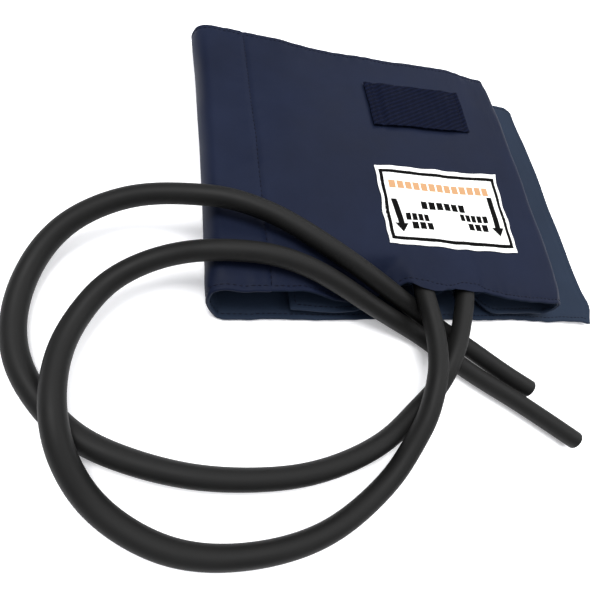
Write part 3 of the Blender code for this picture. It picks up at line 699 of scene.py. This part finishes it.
def closedEdge(w, side, first):
    # three rows round a closed edge, from one face to the other; side is -1 at the front, 1 at the back
    return [(w, first, 0.0, 0.7 * side), (w, 0.5, 0.0, side), (w, 1 - first, 0.0, 0.7 * side)]


def closedRing(rows, near=0.12):
    # once round a closed panel: w, share of the thickness, extra depth, push past the hem
    ring = [(w, 0.0, 0.0, 0.0) for w in rows[::-1]] + closedEdge(rows[0], -1.0, near)
    return ring + [(w, 1.0, 0.0, 0.0) for w in rows] + closedEdge(rows[-1], 1.0, 1 - near)


def mouthRing():
    # the same, with the front hem left open between cover and lining, where the tubes come out
    mouth = [h / strip["width"] for h in (0.9, 3.0, 5.5, 8.5)]
    ring = [(w, 0.0, 0.0, 0.0) for w in rowsAcross[::-1]]
    ring += [(rowsAcross[0], 0.0, 0.35, -0.45)]
    ring += [(w, 0.0, 0.7, 0.0) for w in mouth] + [(w, 1.0, -0.7, 0.0) for w in reversed(mouth)]
    ring += [(rowsAcross[0], 1.0, -0.35, -0.45)]
    ring += [(w, 1.0, 0.0, 0.0) for w in rowsAcross]
    return ring + closedEdge(rowsAcross[-1], 1.0, 0.88)


def namePiece(name):
    piece = bpy.context.object
    piece.name = piece.data.name = name
    return piece


def addGrid(name, columns, rows):
    # a flat grid, with each vertex's column and row
    bpy.ops.object.select_all(action="DESELECT")
    bpy.ops.mesh.primitive_grid_add(x_subdivisions=columns - 1, y_subdivisions=rows - 1, size=2)
    piece = namePiece(name)
    flat = np.empty(len(piece.data.vertices) * 3)
    piece.data.vertices.foreach_get("co", flat)
    flat = flat.reshape(-1, 3)
    column = np.rint((flat[:, 0] + 1) / 2 * (columns - 1)).astype(int)
    row = np.rint((flat[:, 1] + 1) / 2 * (rows - 1)).astype(int)
    return piece, column, row


def layGrid(piece, column, row, places, runs, crossings):
    # puts each vertex in its place, in metres, and gives it its distances along and across as its UV
    piece.data.vertices.foreach_set("co", toRow(places[column, row]).ravel())
    layer = piece.data.uv_layers.active or piece.data.uv_layers.new(name="UVMap")
    layer.name = "UVMap"
    corners = np.empty(len(piece.data.loops), int)
    piece.data.loops.foreach_get("vertex_index", corners)
    uv = np.stack([runs[column[corners]], crossings[row[corners]]], -1) / 1000
    layer.data.foreach_set("uv", uv.ravel())
    piece.data.update()


def tidyShell(piece, angle=50.0):
    bpy.ops.object.select_all(action="DESELECT")
    piece.select_set(True)
    bpy.context.view_layer.objects.active = piece
    bpy.ops.object.mode_set(mode="EDIT")
    bpy.ops.mesh.select_all(action="SELECT")
    bpy.ops.mesh.remove_doubles(threshold=mergeGap)
    bpy.ops.mesh.select_all(action="DESELECT")
    bpy.ops.mesh.select_mode(type="EDGE")
    bpy.ops.mesh.select_non_manifold(extend=False, use_boundary=True, use_wire=False, use_multi_face=False,
                                     use_non_contiguous=False, use_verts=False)
    bpy.ops.mesh.fill_holes(sides=0)
    bpy.ops.mesh.select_all(action="SELECT")
    bpy.ops.mesh.normals_make_consistent(inside=False)
    bpy.ops.mesh.select_mode(type="VERT")
    bpy.ops.object.mode_set(mode="OBJECT")
    bpy.ops.object.shade_smooth_by_angle(angle=math.radians(angle))
    return piece


def makeShell(name, columns, ring, linedFrom, finishNames, start=0.0, thickness=None, tapers=()):
    # a closed cloth panel over a stretch of the strip
    columns = np.array(columns, float)
    w, share, extra, push = (np.array(k) for k in zip(*ring))
    outer, inward, thick = stripSurface(columns[:, None], w[None, :])
    if thickness is not None:
        thick = np.full_like(thick, thickness)
    taper = np.ones(len(columns))
    for end in tapers:
        near = np.clip(np.abs(columns - end) / 0.8, 0, 1)
        taper = np.minimum(taper, np.sqrt(1 - (1 - near) ** 2))
    taper = taper[:, None]
    depth = start + thick * (0.5 + (share - 0.5) * taper) + extra * taper
    places = outer + inward * depth[..., None]
    places[..., 1] += push * thick / 2 * taper
    places = np.concatenate([places, places[:, :1]], axis=1)
    piece, column, row = addGrid(name, len(columns), len(ring) + 1)
    layGrid(piece, column, row, places, columns, runOf(places[len(columns) // 2]))
    for finishName in finishNames:
        piece.data.materials.append(finishes[finishName])
    if len(finishNames) > 1:
        for face in piece.data.polygons:
            mean = sum(row[v] for v in face.vertices) / len(face.vertices)
            face.material_index = int(linedFrom[0] < mean < linedFrom[1])
    return tidyShell(piece)


def steps(low, high, size):
    return np.linspace(low, high, max(int(round((high - low) / size)), 1) + 1)


outerCount = len(rowsAcross)
lined = (outerCount + 1, 2 * outerCount + 2)
mouthLined = (outerCount + 5, 2 * outerCount + 9)
tailSplit = 92.0                                      # the two tail panels meet here, under the section

def layCloth(name, columns, ring, lining, nodes, tapers=()):
    piece = makeShell(name, columns, ring, lining, ("nylon", "lining"), tapers=tapers)
    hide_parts(*nodes)
    return piece


tailEnd = layCloth("tailEnd", np.r_[0, 0.2, 0.5, 0.9, steps(1.7, tailSplit, 1.7)], closedRing(rowsAcross),
                   lined, ("closure_end_cover", "closure_end_lining"), tapers=(0.0,))
leftCloth = layCloth("leftCloth", np.r_[steps(tailSplit, strip["tail"], 1.8),
                                        steps(strip["tail"], topStart, 1.2)[1:],
                                        steps(topStart, topStart + strip["pocketSeam"], 0.8)[1:]],
                     closedRing(rowsAcross), lined,
                     ("tail_cover", "tail_lining", "left_fold_cover", "left_fold_lining"))
pocketCloth = layCloth("pocketCloth", np.r_[steps(topStart + strip["pocketSeam"], topStart + 24, 0.8),
                                            steps(topStart + 24, rightStart, 1.6)[1:],
                                            steps(rightStart, flapBegin, 1.0)[1:]], mouthRing(), mouthLined,
                       ("pocket_cover", "pocket_lining", "right_fold_cover", "right_fold_lining"))
flapCloth = layCloth("flapCloth", np.r_[steps(flapBegin - 1.0, flapEnd - 0.9, 1.9), flapEnd - 0.5,
                                        flapEnd - 0.2, flapEnd], closedRing(rowsAcross), lined,
                     ("inner_flap_cover", "inner_flap_lining"), tapers=(flapEnd,))
print("cloth panels are laid")


# rubber bladder inside the pocket and the flap

pouch = dict(front=22.0, back=130.0, start=22.0, end=146.0, depth=1.1, thickness=2.2)
turnedEnd = dict(front=24.0, back=130.0, start=10.0, end=83.0, depth=1.0, thickness=1.7)


def makeBladder(name, size, begin, node, body):
    start, end = begin + size["start"], begin + size["end"]
    ring = closedRing(np.linspace(size["front"], size["back"], 40) / strip["width"], 0.15)
    piece = makeShell(name, steps(start, end, 3.0), ring, None, ("bladder",), start=size["depth"],
                      thickness=size["thickness"], tapers=(start, end))
    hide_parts(node)
    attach(piece, body)
    return piece


bladder = makeBladder("bladderPouch", pouch, topStart, "bladder", "bladder_section")
bladderEnd = makeBladder("bladderTurnedEnd", turnedEnd, flapBegin, "bladder_folded_end", "inner_flap")
for neck in ("bladder_neck_1", "bladder_neck_2"):
    node = bpy.data.objects[neck]
    for slot in node.material_slots:
        slot.material = finishes["bladder"]
print("bladder is in")


# what is sewn on top: places are looked up on the cover's own face

def onTopFace(x, y, above):
    x, y = np.broadcast_arrays(np.asarray(x, float), np.asarray(y, float))
    s = topStart + x
    edges, across = stripPlace(s, np.zeros_like(s))
    w = (y - edges[..., 1]) / across
    outer, inward, _ = stripSurface(s, w)
    return outer - inward * np.asarray(above)[..., None]


def skewed(x, y, box, corners):
    # a sewn-on piece is never quite square: its corners are pulled by these amounts
    shareX, shareY = (x - box[0]) / (box[1] - box[0]), (y - box[2]) / (box[3] - box[2])
    weights = [(1 - shareX) * (1 - shareY), shareX * (1 - shareY), (1 - shareX) * shareY, shareX * shareY]
    return (x + sum(part * pull[0] for part, pull in zip(weights, corners)),
            y + sum(part * pull[1] for part, pull in zip(weights, corners)))


def thicken(piece, thickness):
    rim = piece.modifiers.new("thickness", "SOLIDIFY")
    rim.thickness, rim.offset = thickness / 1000, -1
    bpy.ops.object.modifier_apply(modifier=rim.name)
    bpy.ops.object.shade_smooth_by_angle(angle=math.radians(50))
    return piece


def insideOf(box, inset):
    # a closed route inside a box's four sides
    left, right, front, back = box[0] + inset, box[1] - inset, box[2] + inset, box[3] - inset
    return [(left, front), (right, front), (right, back), (left, back), (left, front)]


def makePatch(name, box, size, above, thickness, finishName, corners, wave):
    # a thin piece that lies on the cover; above gives the height of its underside
    left, right, front, back = box
    xs, ys = steps(left, right, size), steps(front, back, size)
    gridX, gridY = np.meshgrid(xs, ys, indexing="ij")
    edge = np.exp(-np.minimum(gridY - front, back - gridY) / 4.0)
    side = np.exp(-np.minimum(gridX - left, right - gridX) / 4.0)
    middleY, middleX = (front + back) / 2, (left + right) / 2
    gridY = gridY + wave * edge * np.sign(gridY - middleY) * noiseAt(gridX, 0.0, 2.5, 9.0)
    gridX = gridX + wave * side * np.sign(gridX - middleX) * noiseAt(gridY, 0.0, 7.5, 8.0)
    places = onTopFace(*skewed(gridX, gridY, box, corners), above(gridX, gridY) + thickness)
    piece, column, row = addGrid(name, len(xs), len(ys))
    layGrid(piece, column, row, places, xs - left, ys - front)
    piece.data.materials.append(finishes[finishName])
    return thicken(piece, thickness)


labelBox = (70.0, 140.0, 27.0, 70.0)
labelSet = dict(wave=0.9, thickness=0.32, gap=0.12, billow=0.35, curl=1.0, stitchInset=1.3, stitchPitch=2.4,
                corners=[(0.3, 0.0), (-1.2, -0.4), (1.1, -1.8), (-1.5, 0.3)])


def labelLift(x, y):
    left, right, front, back = labelBox
    inside = np.minimum(np.minimum(x - left, right - x), np.minimum(y - front, back - y))
    billow = labelSet["billow"] * ease(inside, 1, 8) * (0.6 + noiseAt(x, y, 33.0, 12.0))
    return labelSet["gap"] + billow + labelSet["curl"] * np.exp(-np.hypot(x - right, y - back) / 2.2)


def labelTop(x, y):
    return labelLift(x, y) + labelSet["thickness"] + 0.02


sewnLabel = makePatch("sewnLabel", labelBox, 0.8, labelLift, labelSet["thickness"], "label",
                      labelSet["corners"], labelSet["wave"])
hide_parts("label")
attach(sewnLabel, "bladder_section")

tapeBox = (76.0, 133.0, 95.0, 123.0)
tapeSet = dict(thickness=0.75, gap=0.3, rise=0.9, sewn=5.5, ramp=4, turned=0.55, selvedge=0.12, wave=0.35,
               tackLeft=2.3, tackEnd=1.2, zigzag=(1.6, 4.2), zigzagPoints=18,
               corners=[(0.0, -2.4), (-1.0, 2.0), (0.3, -1.7), (-1.4, 0.7)])


def tapeLift(x, y):
    left, right, front, back = tapeBox
    sewn, ramp = tapeSet["sewn"], tapeSet["ramp"]
    free = ease(x, left + sewn, left + sewn + ramp) * (1 - ease(x, right - sewn - ramp, right - sewn))
    rise = tapeSet["rise"] * free * (0.85 + 0.3 * noiseAt(x, y, 12.0, 15.0))
    turned = tapeSet["turned"] * (1 - ease(x, left + 4.2, left + 4.8)) * ease(x, left - 0.2, left + 0.5)
    selvedge = np.exp(-((y - front - 0.8) / 0.5) ** 2) + np.exp(-((back - 0.8 - y) / 0.5) ** 2)
    sewnDown = 0.25 * np.exp(-((x - left - tapeSet["tackLeft"]) / 0.6) ** 2)
    sewnDown = sewnDown + 0.3 * np.exp(-((right - 3.0 - x) / 1.2) ** 2)
    return tapeSet["gap"] + rise + turned + tapeSet["selvedge"] * selvedge - sewnDown


def tapeTop(x, y):
    return tapeLift(x, y) + tapeSet["thickness"] + 0.05


tape = makePatch("gaugeTape", tapeBox, 0.7, tapeLift, tapeSet["thickness"], "webbing", tapeSet["corners"],
                 tapeSet["wave"])
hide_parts("gauge_tape")
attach(tape, "bladder_section")
print("label and tape are sewn on")


# stitches, all copies of one small thread that is slimmer and lower at its ends

stitchSize = dict(length=2.0, pitch=2.3, radius=0.22, waist=0.35, sag=0.28, off=0.12)
rowStations = 160                                     # points along a row of stitches across the strip


def makeStitchShape():
    bpy.ops.object.select_all(action="DESELECT")
    bpy.ops.mesh.primitive_cylinder_add(vertices=6, radius=stitchSize["radius"], depth=stitchSize["length"],
                                        end_fill_type="NGON", rotation=(0, math.pi / 2, 0))
    bpy.ops.object.transform_apply(location=True, rotation=True, scale=True)
    piece = namePiece("stitchShape")
    bpy.ops.object.mode_set(mode="EDIT")
    bpy.ops.mesh.select_all(action="SELECT")
    bpy.ops.mesh.bisect(plane_co=(0, 0, 0), plane_no=(1, 0, 0))
    bpy.ops.object.mode_set(mode="OBJECT")
    shape = np.array([v.co for v in piece.data.vertices])
    faces = [list(face.vertices) for face in piece.data.polygons]
    share = np.abs(shape[:, 0]) / (stitchSize["length"] / 2)
    slim = 1 - stitchSize["waist"] * share ** 3
    shape[:, 1] *= slim
    shape[:, 2] = shape[:, 2] * slim - stitchSize["sag"] * share ** 2
    bpy.data.objects.remove(piece)
    return shape, faces


stitchShape, stitchFaces = makeStitchShape()


def placeCopies(name, shape, faces, spots, finish):
    # spots: (middle, direction, up, stretch) for each copy
    points, polygons = [], []
    for middle, direction, up, stretch in spots:
        side = np.cross(up, direction)
        side /= np.linalg.norm(side)
        lifted = np.cross(direction, side)
        start = len(points) * len(shape)
        points.append(middle + shape[:, :1] * stretch * direction + shape[:, 1:2] * side
                      + shape[:, 2:] * lifted)
        polygons += [[v + start for v in face] for face in faces]
    mesh = bpy.data.meshes.new(name)
    mesh.from_pydata(toRow(np.concatenate(points)).tolist(), [], polygons)
    mesh.materials.append(finish)
    mesh.shade_smooth()
    piece = bpy.data.objects.new(name, mesh)
    bpy.context.scene.collection.objects.link(piece)
    return piece


def rowSpots(points, ups, pitch=stitchSize["pitch"]):
    run = runOf(points)
    ends = np.linspace(0, run[-1], max(int(run[-1] // pitch), 1) + 1)
    spots = []
    for middle in (ends[:-1] + ends[1:]) / 2:
        direction = alongRun(middle + 0.5, run, points) - alongRun(middle - 0.5, run, points)
        up = alongRun(middle, run, ups)
        spots.append((alongRun(middle, run, points), direction / np.linalg.norm(direction),
                      up / np.linalg.norm(up), 1.0))
    return spots


def hemSpots(s, w, inside):
    # stitches along a line on the strip, on its outer face or its lining
    outer, inward, thick = stripSurface(s, w)
    if inside:
        return rowSpots(outer + inward * (thick + stitchSize["off"])[:, None], inward)
    return rowSpots(outer - inward * stitchSize["off"], -inward)


inset = strip["hemInset"] / strip["width"]
across = np.linspace(inset, 1 - inset, rowStations)


def bothHems(low, high):
    s = steps(low, high, 0.8)
    return [spot for inside in (False, True) for w in (inset, 1 - inset)
            for spot in hemSpots(s, np.full(len(s), w), inside)]


def endHem(s):
    return [spot for inside in (True, False) for spot in hemSpots(np.full(rowStations, s), across, inside)]


def sew(name, spots, *nodes):
    piece = placeCopies(name, stitchShape, stitchFaces, spots, finishes["thread"])
    if nodes:
        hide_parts(*nodes)
    return piece


seamAt = topStart + strip["pocketSeam"]
seamS = seamAt + seamDrift(np.linspace(4, 141, rowStations))
tailStitches = sew("tailStitches", bothHems(2.6, tailSplit) + endHem(2.6), "closure_end_hem_thread")
leftStitches = sew("leftStitches", bothHems(tailSplit, seamAt - 1), "tail_hem_thread")
pocketStitches = sew("pocketStitches", bothHems(seamAt + 1, flapBegin - 2) + hemSpots(seamS, across, False),
                     "pocket_seam_thread", "front_hem_thread", "back_hem_thread")
flapStitches = sew("flapStitches", bothHems(flapBegin + 4, flapEnd - 3) + endHem(flapEnd - 2.6),
                   "inner_flap_hem_thread")


def patchSpots(route, lift, box, corners, pitch=stitchSize["pitch"]):
    # a row of stitches along straight lines on a sewn-on piece
    spots = []
    for (x1, y1), (x2, y2) in zip(route[:-1], route[1:]):
        share = np.linspace(0, 1, 60)
        x, y = x1 + share * (x2 - x1), y1 + share * (y2 - y1)
        points = onTopFace(*skewed(x, y, box, corners), lift(x, y))
        spots += rowSpots(points, np.tile((0.0, 0.0, 1.0), (60, 1)), pitch)
    return spots


left, right, front, back = tapeBox
near, far = tapeSet["zigzag"]                         # distances from the tape's right end
rungs = np.linspace(front + near, back - near, tapeSet["zigzagPoints"])
zigzag = [(right - (near if k % 2 else far), y) for k, y in enumerate(rungs)]
straight = [(left + tapeSet["tackLeft"], y) for y in (front + tapeSet["tackEnd"], back - tapeSet["tackEnd"])]
for name, route, node in (("tapeTackLeft", straight, "gauge_tape_tack_left"),
                          ("tapeTackRight", zigzag, "gauge_tape_tack_right")):
    tack = sew(name, patchSpots(route, tapeTop, tapeBox, tapeSet["corners"]), node)
    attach(tack, "bladder_section")
finishes["labelThread"] = makeRubber("labelThread", (0.62, 0.62, 0.60), (0.74, 0.74, 0.72), (0.5, 0.7), 0.2)
labelSpots = patchSpots(insideOf(labelBox, labelSet["stitchInset"]), labelTop, labelBox, labelSet["corners"],
                        labelSet["stitchPitch"])
labelStitches = placeCopies("labelStitches", stitchShape * (0.9, 0.6, 0.6), stitchFaces, labelSpots,
                            finishes["labelThread"])
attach(labelStitches, "bladder_section")
print("stitches are sewn")


# hook strip on the tail's lining, loop panel on the inner flap's outer face

def makeBase(name, box, bottom, thickness, finishName, size=1.5):
    left, right, front, back = box
    xs, ys = steps(left, right, size), steps(front, back, size)
    gridX, gridY = np.meshgrid(xs, ys, indexing="ij")
    ragged = 0.35 * noiseAt(gridY, 0.0, 3.7, 7.0) * np.exp(-np.minimum(gridX - left, right - gridX) / 2.0)
    edge = np.minimum(np.minimum(gridX - left, right - gridX), np.minimum(gridY - front, back - gridY))
    places = np.stack([gridX + ragged, gridY, bottom + thickness - 0.12 * np.exp(-edge / 0.8)], -1)
    piece, column, row = addGrid(name, len(xs), len(ys))
    layGrid(piece, column, row, places, xs - left, ys - front)
    piece.data.materials.append(finishes[finishName])
    return thicken(piece, thickness)


def makeHookShape(height, reach, radius):
    # one bent bristle: a three-sided thread that rises and turns over by nearly half a turn
    bow = reach / 2
    middle = [(-bow, 0.0)] + [(-bow * math.cos(a), height - bow + bow * math.sin(a))
                              for a in np.linspace(0, math.pi * 0.95, 6)]
    points, faces = [], []
    for k, (x, z) in enumerate(middle):
        for corner in range(3):
            a = corner * 2 * math.pi / 3
            points.append((x + radius * math.cos(a), radius * math.sin(a), z))
    for k in range(len(middle) - 1):
        for corner in range(3):
            a, b = 3 * k + corner, 3 * k + (corner + 1) % 3
            faces.append([a, b, b + 3, a + 3])
    faces += [[2, 1, 0], [3 * len(middle) - 3, 3 * len(middle) - 2, 3 * len(middle) - 1]]
    return np.array(points), faces


uneven = dict(turn=0.25, shift=0.08, length=0.06)     # how far the bristles stray


def scatter(box, pitchX, pitchY, z, up, seed):
    # (middle, direction, up, stretch) of rows of bristles; every other row faces the other way
    rng = np.random.default_rng(seed)
    left, right, front, back = box
    spots = []
    for j, y in enumerate(np.arange(front + 2.2, back - 2.0, pitchY)):
        for x in np.arange(left + 2.2 + (j % 2) * pitchX / 2, right - 2.0, pitchX):
            turn = rng.normal(0, uneven["turn"]) + (math.pi if j % 2 else 0.0)
            place = np.array((x + rng.normal(0, uneven["shift"]), y + rng.normal(0, uneven["shift"]), z))
            spots.append((place, np.array((math.cos(turn), math.sin(turn), 0.0)), np.array(up),
                          1.0 + rng.normal(0, uneven["length"])))
    return spots


hookSet = dict(box=(40.0, 96.0, 22.0, 128.0), bottom=1.62, base=0.4, height=0.62, reach=0.55, radius=0.09,
               pitch=(1.7, 1.6), sunk=0.05, stitchInset=1.2, stitchZ=2.1, seed=4)
loopSet = dict(box=(38.0, 98.0, 20.0, 130.0), bottom=3.42, base=0.42, height=0.5, reach=0.9, radius=0.1,
               pitch=(1.9, 1.5), sunk=0.02, seed=9)
flatUp = np.tile((0.0, 0.0, 1.0), (60, 1))
hookBase = makeBase("hookTape", hookSet["box"], hookSet["bottom"], hookSet["base"], "hooks")
shape, faces = makeHookShape(hookSet["height"], hookSet["reach"], hookSet["radius"])
hookFoot = hookSet["bottom"] + hookSet["base"] - hookSet["sunk"]
hooks = placeCopies("hookBristles", shape, faces, scatter(
    hookSet["box"], *hookSet["pitch"], hookFoot, (0.0, 0.0, 1.0), hookSet["seed"]), finishes["hooks"])
hookRoute = [(x, y, hookSet["stitchZ"]) for x, y in insideOf(hookSet["box"], hookSet["stitchInset"])]
hookStitches = sew("hookStitches", [spot for start, end in zip(hookRoute[:-1], hookRoute[1:])
                                    for spot in rowSpots(np.linspace(start, end, 60), flatUp)])
loopBase = makeBase("loopPanel", loopSet["box"], loopSet["bottom"], loopSet["base"], "loops")
shape, faces = makeHookShape(loopSet["height"], loopSet["reach"], loopSet["radius"])
loopFoot = loopSet["bottom"] + loopSet["sunk"]
loops = placeCopies("loopPile", shape, faces, scatter(
    loopSet["box"], *loopSet["pitch"], loopFoot, (0.0, 0.0, -1.0), loopSet["seed"]), finishes["loops"])
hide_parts("hook_strip")
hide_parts("loop_panel")
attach(hookStitches, "tail")
for piece, body, slot in ((hookBase, "tail", "hook_tape"), (hooks, "tail", "hook_tape"),
                          (loopBase, "inner_flap", "loop_pile"), (loops, "inner_flap", "loop_pile")):
    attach(piece, body)
print("hook strip and loop panel are on")


# the two rubber tubes

tubeSet = dict(stations=260, sides=28, bore=2.0, boreDepth=16.0, boreRound=0.2,
               endRound=[(0.35, 0.0), (0.15, 0.1), (0.0, 0.3)])   # distance from the end, and how far in


def makeTube(name, route):
    line = smoothRoute(route, tubeSet["stations"])
    run = runOf(line)
    wanted = np.r_[0, run[1:-2], [run[-1] - back for back, _ in tubeSet["endRound"]]]
    line = alongRun(wanted, run, line)
    radius = np.full(len(line), tubeRadius)
    radius[-3:] -= [inward for _, inward in tubeSet["endRound"]]
    ahead = np.gradient(line, axis=0)
    ahead /= np.linalg.norm(ahead, axis=1, keepdims=True)
    side = np.cross(ahead[0], (0.0, 0.0, 1.0))
    sides = []
    for direction in ahead:                           # carried along without twist
        side = side - direction * side.dot(direction)
        side /= np.linalg.norm(side)
        sides.append(side)
    sides = np.array(sides)
    ups = np.cross(sides, ahead)
    angle = np.linspace(0, 2 * math.pi, tubeSet["sides"] + 1)
    places = line[:, None] + radius[:, None, None] * (
        sides[:, None] * np.cos(angle)[None, :, None] + ups[:, None] * np.sin(angle)[None, :, None])
    places[:, -1] = places[:, 0]
    piece, column, row = addGrid(name, len(line), len(angle))
    layGrid(piece, column, row, places, wanted, angle * tubeRadius)
    piece.data.materials.append(finishes["tube"])
    middle = rowPoint(*line[-1])
    bpy.ops.object.mode_set(mode="EDIT")
    bpy.ops.mesh.select_all(action="SELECT")
    bpy.ops.mesh.remove_doubles(threshold=mergeGap)
    bpy.ops.mesh.select_all(action="DESELECT")
    bpy.ops.object.mode_set(mode="OBJECT")
    reachOf = (tubeRadius + 0.1) / 1000
    for vertex in piece.data.vertices:
        offset = vertex.co - middle
        vertex.select = offset.length < reachOf and abs(offset.dot(Vector(ahead[-1]))) < 0.00002
    for edge in piece.data.edges:
        edge.select = all(piece.data.vertices[v].select for v in edge.vertices)
    bpy.ops.object.mode_set(mode="EDIT")
    bpy.ops.mesh.edge_face_add()
    boreRound = tubeSet["boreRound"] / 1000
    bpy.ops.mesh.inset(thickness=(radius[-1] - tubeSet["bore"]) / 1000 - boreRound, depth=0)
    bpy.ops.mesh.inset(thickness=boreRound, depth=-boreRound)
    inward = tuple(-ahead[-1] * tubeSet["boreDepth"] / 1000)
    bpy.ops.mesh.extrude_region_move(TRANSFORM_OT_translate={"value": inward})
    bpy.ops.object.mode_set(mode="OBJECT")
    tidyShell(piece, 40)
    return piece, line


cords = {"gaugeTube": ("gauge_tube", 0.493), "bulbTube": ("bulb_tube", 0.496)}
for name, (node, length) in cords.items():
    tube, line = makeTube(name, tubeRoutes[name])
    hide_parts(node)
    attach(tube, "bladder_section")
    path = [tuple(p) for p in toRow(smoothRoute(tubeRoutes[name], 90))]
print("tubes are run")


# cloth pieces with their transforms baked in; the pocket's cloth and stitches go with the bladder section

for piece in (tailEnd, tailStitches):
    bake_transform(piece)
for piece in (leftCloth, leftStitches):
    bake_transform(piece)
for piece in (flapCloth, flapStitches):
    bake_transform(piece)
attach(pocketCloth, "bladder_section")
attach(pocketStitches, "bladder_section")
